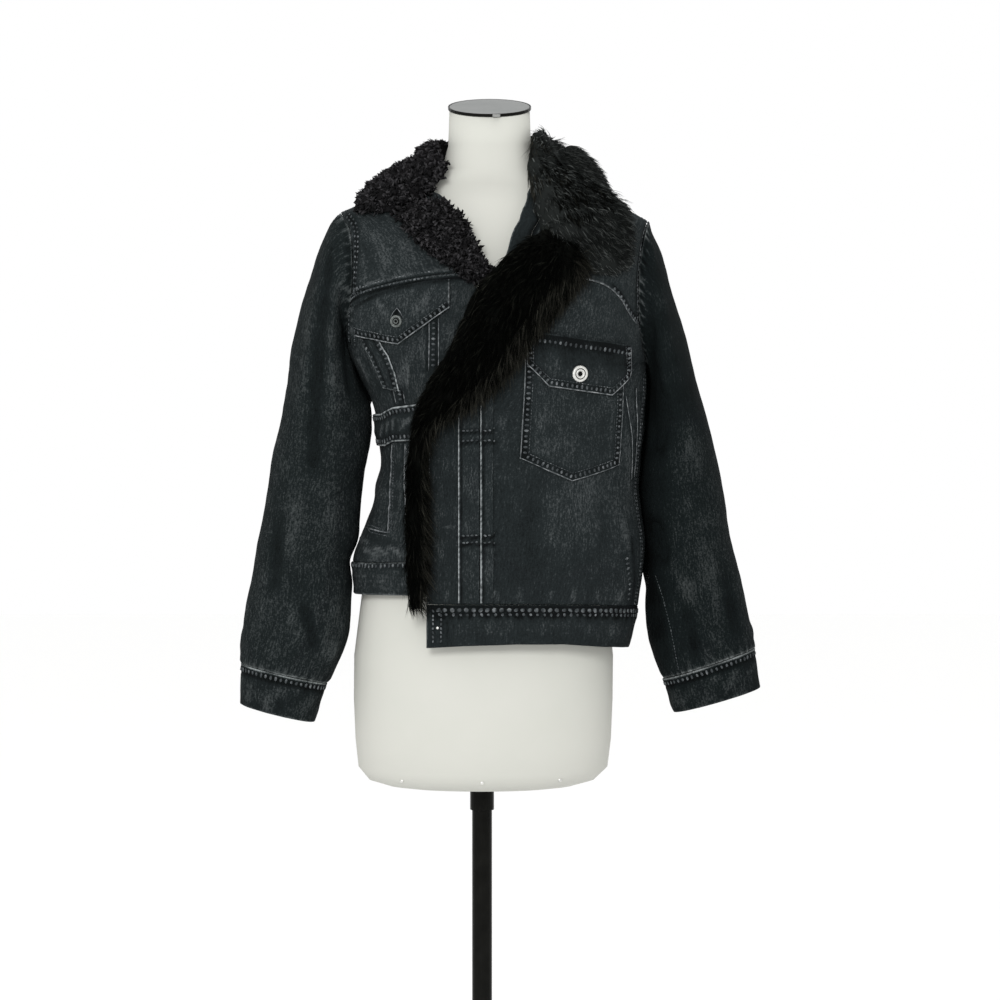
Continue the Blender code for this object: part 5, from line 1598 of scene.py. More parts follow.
def left_front_waistband():
    bottom = L.front_line((-70, 182), (-22, 185), (40, 187), (98, 186), (144, 181))
    bottom += [(-SIDE_TURN, 177), (0.01, 175)]
    lines = side_lines(bottom, [*LEFT_BAND_SEAM, (0.01, 227)])
    cloth = panel("left_front_waistband", L, lines, FRONT_STEP, 0, BAND)
    cloth.unevenness(0.04, 0.0005, 35, 0.028)
    # puckers with painted shade in their troughs
    cloth.press("top", 0.0145, 0.004, -0.0009, -0.22, period=0.0145, seed=2)
    cloth.press("top", 0.008, 0.0075, 0.0009, -0.26)
    cloth.sew_side("top", 0.0062, GATHERED_ROW, start=0.04)
    cloth.sew_side("top", 0.0118, GATHERED_ROW._replace(width=0.0036, length=0.0034), start=0.045)
    cloth.crease(cloth.shares([(0.05, 0.4), (0.5, 0.35), (0.95, 0.4)]), 0.03, 0.0, -0.13)
    # painted shade in a groove at the top edge
    cloth.press("top", 0.0022, 0.0016, -0.0008, -0.3)
    cloth.rub("inner", 0.4, 0.001, seed=6)
    for row, share in enumerate((0.3, 0.45, 0.58)):
        spots = [(0.1, share), (0.35, share + 0.06), (0.6, share - 0.05), (0.9, share + 0.03)]
        cloth.crease(cloth.shares(spots), 0.004, 0.0009, 0.06, fade=0.2, seed=row * 2.3)
    for spots in WAISTBAND_BARS:
        cloth.sew(cloth.seen(spots, curved=False), CHUNKY_ROW)
    # painted shade in the hollow beside the bars
    cloth.crease(cloth.seen(WAISTBAND_HOLLOW), 0.0018, -0.0006, -0.2)
    for number, share in enumerate((0.14, 0.23, 0.31, 0.42, 0.5, 0.61, 0.7, 0.79, 0.88)):
        lean = 0.012 * math.sin(number * 2.1)
        path = cloth.shares([(share, 0.62), (share + lean, 0.4), (share + lean, 0.16)])
        cloth.crease(path, 0.004, 0.0009 * (1 if number % 2 else -1), 0.1, fade=0.35, seed=number)
    finish_cloth(cloth)
    return cloth


def left_back_waistband():
    top = [(CENTRE_BACK, 227), *L.back_line((60, 227), (120, 227)), (SIDE_TURN, 227), (0.02, 227)]
    bottom = [(CENTRE_BACK, 174), *L.back_line((60, 174), (120, 174)), (SIDE_TURN, 174), (0.02, 175)]
    cloth = panel("left_back_waistband", L, side_lines(bottom, top), BACK_STEP * 0.8, 0, BAND)
    cloth.unevenness(0.04, 0.0005, 36, 0.028)
    for inset in (0.0035, 0.0105):
        cloth.sew_side("top", inset, PLAIN_ROW)
    cloth.sew_side("bottom", 0.003)
    cloth.press("top", 0.007, 0.0075, 0.0009, 0.26, period=0.0125, seed=1)
    cloth.rub("bottom", 0.65, 0.0018, seed=2)
    cloth.rub("top", 0.5, 0.0018, seed=3)
    finish_cloth(cloth)


LEFT_BACK_YOKE_FOLDS = (
    Fold([(70, 700), (108, 675), (140, 652)], 0.007, 0.0012),
    Fold([(30, 690), (70, 664), (104, 650)], 0.007, -0.001),
)


def left_back_yoke():
    ridge, armhole = (768, 737, 706), (618, 650, 680, 706)
    back_yoke("left_back_yoke", L, LEFT_BACK_YOKE_SEAM, ridge, armhole, 37, LEFT_BACK_YOKE_FOLDS)


LEFT_BACK_FOLDS = (
    Fold([(30, 560), (60, 520), (95, 500)], 0.008, 0.0014),
    Fold([(150, 520), (128, 470), (140, 420)], 0.008, 0.0013),
    Fold([(84, 440), (90, 360), (84, 290)], 0.008, -0.0012),
    Fold([(30, 420), (36, 350), (30, 280)], 0.008, 0.0013),
    Fold([(155, 400), (150, 330), (158, 270)], 0.008, 0.0012),
)


def left_back():
    bottom = [(CENTRE_BACK, 227), *L.back_line((60, 227), (120, 227)), (SIDE_TURN, 227)]
    side = upright(SIDE_TURN, 227, *LEFT_SIDE_HEIGHTS, LEFT_UNDERARM) + upright(BACK_SIDE, 531, 573, 618)
    centre = upright(CENTRE_BACK, 227, 278, 329, 380, 431, 482, 525, 565, 602, 640)
    cloth = panel("left_back", L, (bottom, LEFT_BACK_YOKE_SEAM, centre, side), BACK_STEP)
    cloth.unevenness(0.06, 0.0007, 38, 0.024)
    cloth.top_stitch("top", 0.002, seed=1)
    # painted shadow below the yoke seam
    cloth.press("top", 0.0112, 0.0018, -0.0011, -0.5, seed=2)
    for x in (62, 118):
        cloth.seam(cloth.behind([(x, 632), (x * 0.9, 440), (x * 0.86, 236)]), seed=x)
    cloth.folds(LEFT_BACK_FOLDS, 0.12, -0.12, cast=cloth.behind)
    for number, x in enumerate((18, 45, 78, 104, 136, 160)):
        path = cloth.behind([(x + 3 * math.sin(number * 2), 252), (x, 240), (x, 230)])
        cloth.crease(path, 0.004, 0.001, 0.2, fade=0.3, seed=number)
    finish_cloth(cloth)


# ---- sleeves and cuffs

HEAD, END = "bottom", "top"  # the borders of a tube: v runs down it
SLEEVE_FOLD_RISE = 1.3
SLEEVE_BACK_FOLDS = ((0.14, 0.62, 0.0022), (0.22, 0.7, -0.002), (0.4, 0.9, 0.0018), (0.1, 0.45, -0.0016))
END_PUCKERS = 9


def sleeve(name, half, rings):
    skins = [armhole_ring(half)] + [ring_points(half, ring) for ring in rings]
    return tube(name, skins, FRONT_STEP * 1.25, DENIM)


def cuff(name, half, sleeve_end, rings):
    """The cuff starts a seam gap below the sleeve's last ring."""
    head = sleeve_end._replace(
        outer_height=sleeve_end.outer_height - CUFF_DROP,
        inner_height=sleeve_end.inner_height - CUFF_DROP,
    )
    return tube(name, [ring_points(half, ring) for ring in (head, *rings)], FRONT_STEP, BAND)


def sleeve_folds(cloth, folds):
    """Long soft folds seen from the front. Each also changes colour: ridges are rubbed paler and troughs get
    painted shade.
    """
    cloth.folds([fold._replace(height=fold.height * SLEEVE_FOLD_RISE) for fold in folds], 0.09, -0.28)


def sleeve_back_folds(cloth, seed):
    """The back hangs in folds like the front's, with painted shade in their troughs, and bends across at the
    elbow.
    """
    for number, (start, end, height) in enumerate(SLEEVE_BACK_FOLDS):
        u = 0.64 + 0.07 * number + 0.01 * math.sin(seed + number)
        path = cloth.shares([(u, start), (u + 0.02, (start + end) / 2), (u - 0.01, end)])
        cloth.crease(path, 0.009, height, 0.1 if height > 0 else -0.12, fade=0.35, seed=seed)
    for number, v in enumerate((0.47, 0.52, 0.57)):
        path = cloth.shares([(0.6, v), (0.7, v + 0.012), (0.82, v - 0.006)])
        cloth.crease(path, 0.007, 0.0015 * (1 if number % 2 else -1), 0.08, fade=0.35, seed=number)


def sleeve_puckers(cloth, seed, head_pale=0.3):
    """The head is pinched by the armhole seam, and the lower end by the cuff's."""
    cloth.press(HEAD, 0.004, 0.005, 0.0006, head_pale, period=0.0112, seed=seed)
    cloth.press(END, 0.004, 0.006, 0.0007, 0.16, period=0.0098, seed=seed + 1)
    cloth.rub(HEAD, 0.35, seed=seed)
    cloth.rub(END, 0.5, 0.0016, seed=seed + 2)
    for number in range(END_PUCKERS):
        u = (number + 0.3 * math.sin(number * 2.7)) / END_PUCKERS
        path = cloth.shares([(u, 0.97), (u + 0.008 * math.sin(number), 0.935), (u, 0.9)])
        cloth.crease(path, 0.005, 0.0011, 0.08, fade=0.4, seed=number)


RIGHT_SLEEVE_FOLDS = (
    Fold([(331, 232), (328, 269), (321.5, 321), (316, 372), (314.6, 424), (313, 500)], 0.009, -0.0034),
    Fold([(340, 250), (335, 296), (331, 331), (332, 372), (337, 415), (344, 445)], 0.007, 0.0032),
    Fold([(318, 280), (313, 331), (308, 355), (301, 390), (294, 424)], 0.011, 0.0022),
    Fold([(344, 300), (345, 345), (349, 385), (354, 415)], 0.006, -0.0022),
    Fold([(345, 228), (351, 262), (350, 300)], 0.004, -0.0014),
    Fold([(300, 600), (311, 629), (318, 657)], 0.007, -0.0026),
    Fold([(290, 596), (297, 618), (304, 645)], 0.008, 0.0024),
    Fold([(345, 560), (340, 598), (322, 640), (300, 662)], 0.008, 0.0016),
    Fold([(347, 612), (336, 640), (326, 668)], 0.007, 0.0014),
    Fold([(300, 470), (294, 520), (290, 570)], 0.01, 0.0013),
    Fold([(332, 470), (330, 520), (326, 570)], 0.01, 0.0013),
    Fold([(270, 560), (262, 605), (258, 645)], 0.01, 0.0014),
    Fold([(282, 505), (276, 555), (274, 600)], 0.009, -0.0012),
)


def right_sleeve():
    cloth = sleeve("right_sleeve", R, RIGHT_SLEEVE)
    cloth.unevenness(0.075, 0.0011, 41, 0.02)
    cloth.unevenness(0.022, 0.0002, 42, 0.024)
    sleeve_folds(cloth, RIGHT_SLEEVE_FOLDS)
    sleeve_back_folds(cloth, 1)
    sleeve_puckers(cloth, 1)
    finish_cloth(cloth, SLEEVE_DENIM)


def cuff_finish(cloth, material, seed):
    """A doubled band: a rubbed edge at its seam, a puckered row below it with painted shade round and below
    it, and a rubbed lower edge.
    """
    cloth.unevenness(0.03, 0.0005, 43 + seed, 0.1)
    cloth.press(HEAD, 0.0012, 0.0014, 0.0008, 0.9, seed=seed)
    cloth.press(HEAD, 0.0062, 0.003, 0.0007, 0.1, period=0.0066, seed=seed)
    cloth.press(HEAD, 0.0095, 0.0018, -0.0006, -0.3, seed=seed)
    cloth.press(HEAD, 0.0062, 0.0045, 0.0, -0.3)
    cloth.sew_side(HEAD, 0.0064, PUCKER_ROW)
    cloth.rub(END, 0.2, 0.0012, seed=seed)
    for u in (0.22, 0.38, 0.7):
        path = cloth.shares([(u, 0.1), (u + 0.012, 0.5), (u - 0.01, 0.92)])
        cloth.crease(path, 0.006, 0.001, 0.08, fade=0.3, seed=seed)
    finish_cloth(cloth, material)


def right_cuff():
    cuff_finish(cuff("right_cuff", R, RIGHT_SLEEVE[-1], RIGHT_CUFF), SLEEVE_DENIM, 3)


LEFT_SLEEVE_FOLDS = (
    Fold([(642, 292), (648, 335), (654, 372), (658, 410), (658, 470)], 0.012, -0.0028),
    Fold([(655, 262), (662, 310), (672, 355), (684, 400)], 0.012, 0.0018),
    Fold([(675, 395), (690, 440), (700, 490)], 0.012, 0.0016),
    Fold([(650, 545), (655, 576), (663, 603), (670, 633), (677, 674)], 0.0025, 0.0012),
    Fold([(660, 551), (679, 576), (694, 612)], 0.01, 0.002),
    Fold([(648, 520), (660, 541), (668, 575)], 0.009, -0.0024),
    Fold([(700, 530), (712, 580), (722, 625)], 0.011, 0.0014),
    Fold([(684, 600), (692, 635), (698, 668)], 0.008, -0.0014),
    Fold([(722, 560), (732, 610), (738, 650)], 0.009, -0.0012),
    Fold([(646, 236), (652, 250), (655, 268)], 0.005, 0.0014),
    Fold([(641, 246), (645, 262), (643, 282)], 0.005, -0.0012),
)
LEFT_SLEEVE_ROW = [(655, 576), (663, 603), (670, 633), (677, 670)]
# Painted shade down the sleeve's inner side by the body and below the shoulder, and a narrow band of painted
# light that lifts part of that shade.
LEFT_SLEEVE_LIGHT_AND_SHADE = (
    ToneBand([(652, 400), (652, 480), (650, 560), (660, 650)], 0.024, -0.45),
    ToneBand([(660, 270), (672, 330), (686, 400)], 0.045, -0.16),
    ToneBand([(651, 400), (652, 450), (653, 510)], 0.014, 0.3),
)


def left_sleeve():
    cloth = sleeve("left_sleeve", L, LEFT_SLEEVE)
    cloth.unevenness(0.08, 0.0011, 51, 0.02)
    cloth.unevenness(0.022, 0.0002, 52, 0.024)
    sleeve_folds(cloth, LEFT_SLEEVE_FOLDS)
    cloth.sew(cloth.seen(LEFT_SLEEVE_ROW), FINE_ROW, 0.0022)
    cloth.tone_bands(LEFT_SLEEVE_LIGHT_AND_SHADE)
    sleeve_back_folds(cloth, 2)
    sleeve_puckers(cloth, 4, 0.4)
    finish_cloth(cloth, LEFT_SLEEVE_DENIM)


def left_cuff():
    cuff_finish(cuff("left_cuff", L, LEFT_SLEEVE[-1], LEFT_CUFF), LEFT_SLEEVE_DENIM, 7)


# ---- pile and fur

PILE_COLLAR_SKIN = 0.021
FUR_COLLAR_SKIN = 0.041
STRIP_SKIN = 0.014
LAPEL_SKIN = 0.009
STRIP_LIFT = 0.0085  # clear of the pocket flap, whose corner it covers
PELT_STEP = 0.0045
COLLAR_SEAM = 89.4  # where the two collars meet at the back
THINNING = 1.0
DOWN = np.array((0.0, 0.0, -1.0))
AWAY_LEFT = np.array((1.0, 0.0, 0.0))


def swell_of(u, v):
    return np.sqrt(np.clip((1 - (2 * u - 1) ** 4) * (1 - (2 * v - 1) ** 4), 0, 1))


SHOULDER = 0.64  # the shoulder's share of the way from the collar's front to its back
SHOULDER_REACH = 0.2


def swell_between(u, v):
    """Fullest over the shoulder, where it fills the hollow beside the neck, and thin at all its edges."""
    shoulder = np.exp(-(((u - SHOULDER) / SHOULDER_REACH) ** 2))
    ends = np.sqrt(np.clip(1 - (2 * u - 1) ** 4, 0, 1)) * (0.7 + 0.3 * shoulder)
    return ends * np.sin(math.pi * np.clip(v, 0, 1) ** (1.05 - 0.45 * shoulder)) ** 0.9


class Pelt(Cloth):
    """A pile piece's skin: full in its middle, thin at its rim, and lumpy, for tufts to root on."""

    def __init__(self, name, half, lines, lift, depth, swell=swell_of):
        plain = panel(name, half, lines, 0.02, lift)
        self.depth = depth
        self.swell = swell
        super().__init__(name, plain.surface, plain.wide, plain.tall, PELT_STEP, lift, PILE_RIM)

    def over(self, u, v):
        points, normals = self.surface(np.asarray(u, float), np.asarray(v, float))
        swell = self.swell(np.asarray(u, float), np.asarray(v, float))[..., None]
        return points + normals * (self.lift + PILE_RIM + (self.depth - PILE_RIM) * swell)

    def roots(self, count, random):
        """Evenly spread (u, v) places."""
        spans = np.cross(
            self.base[1:, 1:] - self.base[:-1, :-1], self.base[1:, :-1] - self.base[:-1, 1:]
        )
        areas = np.linalg.norm(spans, axis=2)
        cells = random.choice(areas.size, int(count * THINNING), p=(areas / areas.sum()).ravel())
        row, column = np.divmod(cells, areas.shape[1])
        part_u, part_v = random.random((2, len(cells)))
        u = self.u[row, column] + part_u * (self.u[row, column + 1] - self.u[row, column])
        v = self.v[row, column] + part_v * (self.v[row + 1, column] - self.v[row, column])
        return u, v

    def frame_at(self, u, v):
        """Point, outward direction, and the ways along u and along v at each place."""
        step = 0.004
        point = self.over(u, v)
        across = unit(self.over(np.minimum(u + step, 1), v) - self.over(np.maximum(u - step, 0), v))
        along = unit(self.over(u, np.minimum(v + step, 1)) - self.over(u, np.maximum(v - step, 0)))
        _, skin_normal = self.surface(u, v)
        outward = unit(np.cross(across, along))
        facing = (outward * skin_normal).sum(-1, keepdims=True)
        outward = np.where(facing > 0, outward, -outward)
        return point, unit(outward + skin_normal * 0.6), across, along


def tapers(name, paths, widths, values, material):
    """Closed three-sided tapered strands: paths is strands by stations by 3, and the last is the tip."""
    count, stations = paths.shape[:2]
    tangents = unit(np.gradient(paths, axis=1))
    first = unit(np.cross(tangents, np.array((0.3, 0.2, 0.93))) + 1e-6)
    second = np.cross(tangents, first)
    rings = []
    for station in range(stations - 1):
        for side in range(3):
            angle = TAU * side / 3
            reach = first[:, station] * math.cos(angle) + second[:, station] * math.sin(angle)
            rings.append(paths[:, station] + reach * widths[:, station, None])
    rings.append(paths[:, -1])
    points = np.stack(rings, 1)
    each = points.shape[1]
    quads = grid_quads(stations - 1, 3, wraps=True)
    tip = each - 1
    low = tip - 3
    ends = [[0, 2, 1]] + [[low + side, low + (side + 1) % 3, tip] for side in range(3)]
    offsets = (np.arange(count) * each)[:, None, None]
    faces = [(quads[None] + offsets).reshape(-1, 4), (np.array(ends)[None] + offsets).reshape(-1, 3)]
    made = make_mesh(name, points.reshape(-1, 3), faces, material)
    shades = [values[:, station] for station in range(stations - 1) for _ in range(3)]
    set_values(made, TUFT, np.stack(shades + [values[:, -1]], 1).ravel())
    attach(made, BODY)
    return made


Layer = namedtuple(
    "Layer",
    "name count length flow finish seed width pull rise grows trim droop",
    defaults=(0.6, 0.8, None, 0.0, 0.0),
)
HAIRS_IN_A_LOCK = 14
HAIR_STATIONS = (0.0, 0.3, 0.62, 1.0)
HAIR_TAPER = np.array((1.0, 0.9, 0.6, 0.0))
# From painted shade at a strand's root to painted glint at its tip.
HAIR_SHADE_TO_GLINT = np.array((0.3, 0.6, 0.9, 1.0))
EDGE_SHADES = np.array((0, 0.1, 0.35, 0.6))
ROOT_DEPTH = 0.0015
RIM_REACH = 0.012
TRIM_REACH = 0.3


def combed(pelt, layer):
    """Long hairs that lie along flow(u, v, across, along) and gather into pointed locks.

    They grow all over the piece, or only where grows(u, v) holds, are cut shorter towards the bottom line by
    the share trim, and at the piece's edges they sink back to the cloth by the share droop.
    """
    random = np.random.default_rng(layer.seed)
    u, v = pelt.roots(layer.count, random)
    if layer.grows:
        kept = layer.grows(u, v)
        u, v = u[kept], v[kept]
    point, outward, across, along = pelt.frame_at(u, v)
    way = unit(layer.flow(u, v, across, along) + random.normal(0, 0.22, point.shape))
    locks = random.choice(len(u), max(int(len(u) / HAIRS_IN_A_LOCK), 2), replace=False)
    centres = point[locks]
    nearest = np.zeros(len(u), int)
    for start in range(0, len(u), 1000):
        gaps = ((point[start : start + 1000, None] - centres[None]) ** 2).sum(-1)
        nearest[start : start + 1000] = gaps.argmin(1)
    centre = centres[nearest]
    lean = unit(random.normal(0, 1, centres.shape))[nearest]
    reach = layer.length * (0.72 + 0.5 * random.random(len(u)))[:, None]
    reach = reach * (1 - layer.trim * np.clip(1 - v / TRIM_REACH, 0, 1))[:, None]
    rim = np.minimum(np.minimum(u, 1 - u) * pelt.wide, np.minimum(v, 1 - v) * pelt.tall)
    edge = np.clip(1 - rim / RIM_REACH, 0, 1)[:, None]
    paths = []
    for part in HAIR_STATIONS:
        upward = outward * (layer.rise * part - 0.72 * layer.rise * part**2)
        spread = lean * 0.16 * part**2 + DOWN * 0.22 * part**2
        upward = upward - outward * layer.droop * edge * part
        spot = point - outward * ROOT_DEPTH
        spot = spot + reach * (upward + way * (0.35 * part + 0.55 * part**2) + spread)
        paths.append(spot + (centre - point) * layer.pull * part * (1 - 0.5 * edge))
    widths = layer.width * HAIR_TAPER * (0.7 + 0.6 * random.random((len(u), 1)))
    # A few strands at random are lighter towards the tip, as painted glints, with the roots kept darker as
    # painted shade; at the rim the tips are also paler.
    values = random.random((len(u), 1)) ** 2.5 * HAIR_SHADE_TO_GLINT + edge * EDGE_SHADES
    name = f"{pelt.name}_{layer.name}"
    return tapers(name, np.stack(paths, 1), widths, np.clip(values, 0, 1), layer.finish)


Curls = namedtuple("Curls", "name count length seed width")
CLUMP = 0.016
CURL_TURN = 4.2
CURL_TAPER = np.array((1.0, 1.1, 0.95, 0.6, 0.0))
# From painted shade at a curl's root to a painted highlight at its tip.
CURL_SHADE_TO_GLINT = np.array((0.0, 0.3, 0.6, 0.9, 1.0))


def curled(pelt, layer):
    """Short woolly locks, each a loose curl that ends in a point, in small clumps."""
    random = np.random.default_rng(layer.seed)
    u, v = pelt.roots(layer.count, random)
    point, outward, across, along = pelt.frame_at(u, v)
    tilt = waves(point, CLUMP, layer.seed)[:, None] * across
    tilt = tilt + waves(point, CLUMP, layer.seed + 1)[:, None] * along
    rise = unit(outward + tilt * 0.75 + DOWN * 0.4 + random.normal(0, 0.25, point.shape))
    turn = random.random(len(u)) * TAU
    sense = np.where(random.random(len(u)) > 0.5, 1.0, -1.0)
    tall = layer.length * (0.65 + 0.7 * random.random(len(u)))
    round_x = unit(np.cross(rise, along))
    round_y = np.cross(rise, round_x)
    paths = []
    for part in (0.0, 0.25, 0.5, 0.75, 1.0):
        angle = turn + sense * CURL_TURN * part
        swing = 0.0019 * math.sin(math.pi * min(part + 0.1, 1.0)) + 0.0006
        bend = round_x * np.cos(angle)[:, None] + round_y * np.sin(angle)[:, None]
        paths.append(point - outward * 0.001 + rise * (tall * part)[:, None] + bend * swing)
    widths = layer.width * CURL_TAPER * (0.75 + 0.5 * random.random((len(u), 1)))
    # Each curl is darkest at its root, as painted shade deep in the pile, and lighter towards its tip, as a
    # painted highlight.
    values = random.random((len(u), 1)) ** 1.6 * CURL_SHADE_TO_GLINT
    return tapers(f"{pelt.name}_{layer.name}", np.stack(paths, 1), widths, values, CURLY_PILE)


def finish_pelt(pelt, material, tufts):
    skin = pelt.build(pelt.name + "_skin", material)
    set_values(skin, TUFT, np.zeros(len(skin.data.vertices)))
    declare(pelt, skin, tufts)


PILE_COLLAR_CURLS = (Curls("locks", 2300, 0.0092, 63, 0.0025), Curls("curls", 2000, 0.0088, 67, 0.0012))
PILE_LAPEL_CURLS = (Curls("locks", 720, 0.009, 66, 0.0024), Curls("curls", 800, 0.0085, 68, 0.0012))


def right_pile_collar():
    leaf = [(-53, 714), (-35, 714), (-15, 729), (0.5, 745), (22, 724), (50, 708), (89.4, 698)]
    fold = [(-26, 800), (-17, 800), (-8, 800), (0.5, 800), (25, 803), (55, 806), (89.4, 806)]
    front = [leaf[0], (-61, 738), (-55, 757), (-34, 785), fold[0]]
    back = [leaf[-1], *upright(COLLAR_SEAM, 725, 752, 779), fold[-1]]
    pelt = Pelt("right_pile_collar", R, (leaf, fold, front, back), PILE_LIFT, PILE_COLLAR_SKIN)
    pelt.unevenness(0.03, 0.0018, 61)
    pelt.unevenness(0.009, 0.0011, 62)
    finish_pelt(pelt, CURLY_PILE, [curled(pelt, layer) for layer in PILE_COLLAR_CURLS])


def right_pile_lapel():
    bottom = R.front_line((10, 640), (-3, 629), (-17, 631))
    top = R.front_line((-48, 730), (-76, 725), (-106, 712))
    inner = [bottom[0], *R.front_line((-5, 663), (-15, 684), (-27, 708)), top[0]]
    outer = [bottom[-1], *R.front_line((-42, 650), (-72, 672), (-92, 690)), top[-1]]
    pelt = Pelt("right_pile_lapel", R, (bottom, top, inner, outer), DENIM + LAY_GAP, LAPEL_SKIN)
    pelt.unevenness(0.03, 0.0012, 64)
    pelt.unevenness(0.009, 0.001, 65)
    tufts = [curled(pelt, layer) for layer in PILE_LAPEL_CURLS]
    finish_pelt(pelt, CURLY_PILE, tufts)


def collar_flow(u, v, across, along):
    to_front = np.clip(1 - u / 0.25, 0, 1)[:, None]
    over_neck = np.clip((v - 0.76) / 0.16, 0, 1)[:, None]
    way = AWAY_LEFT * (1.2 - 0.6 * to_front) + DOWN * 0.25 - along * 0.35 - across * to_front * 0.5
    return way * (1 - over_neck) + (along * 0.8 + DOWN * 0.4) * over_neck


def falling(u, v, across, along):
    over_neck = np.clip((v - 0.82) / 0.14, 0, 1)[:, None]
    return DOWN * 1.1 + (0.5 - 1.1 * over_neck) * AWAY_LEFT - across * 0.2


def to_the_middle(u, v, across, along):
    return DOWN * 0.7 - AWAY_LEFT * 0.7


def strip_flow(u, v, across, along):
    side = (2 * u - 1)[:, None]
    outward = across * np.sign(side) * np.abs(side) ** 0.8
    top = np.clip((v - 0.9) / 0.1, 0, 1)[:, None]
    spread = np.where(u > 0.5, 0.85, 0.35)[:, None]
    return -along * (0.9 - 1.5 * top) + outward * spread


def by_the_neck(u, v):
    return (v > 0.6) & (u < 0.42)


def in_the_shaded_hollow(u, v):
    return (u > 0.06) & (u < 0.36 - 0.3 * (v - 0.5)) & (v > 0.36) & (v < 0.82)


def over_the_shoulder(u, v):
    return (u > 0.48) & (u < 0.82) & (v > 0.1) & (v < 0.75)


def at_the_back(u, v):
    return u > 0.93


def on_the_right(u, v):
    return u > 0.72


FUR_COLLAR_LAYERS = (
    Layer("hairs", 6300, 0.016, collar_flow, COLLAR_FUR, 72, 0.00048, 0.5, trim=0.55),
    Layer("locks", 2300, 0.011, collar_flow, COLLAR_FUR, 75, 0.0011, 0.3, trim=0.5),
    Layer("strands", 14000, 0.024, falling, STRIP_WISPS, 77, 0.00036, 0.7, 0.6, by_the_neck),
    Layer("crown", 8000, 0.014, collar_flow, COLLAR_FUR, 79, 0.0005, 0.4, 0.8, over_the_shoulder),
    Layer("seam", 5000, 0.013, to_the_middle, COLLAR_FUR, 80, 0.0005, 0.4, 0.8, at_the_back),
    # near-black hairs laid in the hollow beside the neck as painted shade
    Layer("hollow", 8500, 0.019, falling, STRIP_FUR, 81, 0.0009, 0.4, 0.9, in_the_shaded_hollow),
)
FUR_STRIP_LAYERS = (
    Layer("hairs", 7200, 0.02, strip_flow, STRIP_FUR, 74, 0.00048, droop=0.45),
    Layer("wisps", 12000, 0.028, strip_flow, STRIP_WISPS, 76, 0.00036, 0.5, 0.5, on_the_right, droop=0.6),
)


def left_fur_collar():
    leaf = L.front_line((124, 639), (156, 637), (178, 650), (180, 676), (163, 703), (146, 722))
    leaf += [(0.5, 738), (18, 726), (45, 711), (89.4, 694)]
    fold = [(-34, 815), (-28, 816), (-22, 816), (-15, 817), (-8, 817), (0.5, 817), (24, 816)]
    fold += [(55, 812), (89.4, 808)]
    front = [leaf[0], *L.front_line((88, 664), (69, 690), (59, 716), (56, 745)), (-42, 782), fold[0]]
    back = [leaf[-1], *upright(COLLAR_SEAM, 720, 742, 765, 787), fold[-1]]
    pelt = Pelt("left_fur_collar", L, (leaf, fold, front, back), PILE_LIFT, FUR_COLLAR_SKIN, swell_between)
    pelt.unevenness(0.035, 0.002, 71)
    finish_pelt(pelt, COLLAR_FUR, [combed(pelt, layer) for layer in FUR_COLLAR_LAYERS])


StripRow = namedtuple("StripRow", "left left_height right right_height")
STRIP_ROWS = rows(  # from the strip's tip up to the collar
    StripRow,
    (-85, 231, -75, 231), (-89, 270, -67, 270), (-90, 319, -66, 319), (-90, 361, -66, 361),
    (-88, 405, -67, 405), (-84, 442, -63, 438), (-81, 467, -56, 456), (-73, 491, -36, 468),
    (-61, 516, -12, 484), (-45, 543, 12, 503), (-31, 570, 33, 526), (-20, 597, 50, 549),
    (-8, 620, 66, 570), (10, 641, 84, 591), (30, 661, 104, 613), (52, 678, 122, 640),
    (76, 690, 122, 668),
)


def left_fur_strip():
    left = L.front_line(*((row.left, row.left_height) for row in STRIP_ROWS))
    right = L.front_line(*((row.right, row.right_height) for row in STRIP_ROWS))
    lines = ([left[0], right[0]], [left[-1], right[-1]], left, right)
    pelt = Pelt("left_fur_strip", L, lines, STRIP_LIFT, STRIP_SKIN)
    pelt.unevenness(0.04, 0.002, 73)
    tufts = [combed(pelt, layer) for layer in FUR_STRIP_LAYERS]
    finish_pelt(pelt, STRIP_FUR, tufts)


# ---- buttons, rivets and the form

Step = namedtuple("Step", "inset rise")


def turned_disc(name, radius, height, steps, material, sides, bevel=0.0003, dark=()):
    """A round piece on the ground: its top face is drawn in and raised or sunk step by step.

    Faces between each dark pair of radii, from the axis outward, get painted shade, as in the piece's holes
    and sunk grooves.
    """
    bpy.ops.object.select_all(action="DESELECT")
    bpy.ops.mesh.primitive_cylinder_add(
        vertices=sides, radius=radius, depth=height, location=(0, 0, height / 2)
    )
    made = bpy.context.object
    made.name = made.data.name = name
    bpy.ops.object.transform_apply(location=True)
    mesh = bmesh.new()
    mesh.from_mesh(made.data)
    top = max(mesh.faces, key=lambda face: face.calc_center_median().z)
    for step in steps:
        bmesh.ops.inset_region(mesh, faces=[top], thickness=step.inset, use_even_offset=True)
        bmesh.ops.translate(mesh, verts=list(top.verts), vec=(0, 0, step.rise))
    bmesh.ops.recalc_face_normals(mesh, faces=list(mesh.faces))
    mesh.to_mesh(made.data)
    mesh.free()
    rounded_edge = made.modifiers.new("rounded_edge", "BEVEL")
    rounded_edge.width = bevel
    rounded_edge.segments = 2
    rounded_edge.limit_method = "ANGLE"
    bpy.ops.object.modifier_apply(modifier="rounded_edge")
    made.data.materials.append(material)
    made.data.materials.append(HOLE_SHADE)
    for face in made.data.polygons:
        away = math.hypot(face.center.x, face.center.y)
        if face.center.z > height * 0.6 and any(low < away < high for low, high in dark):
            face.material_index = 1
    bpy.ops.object.shade_smooth_by_angle(angle=math.radians(34))
    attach(made, BODY)
    return made


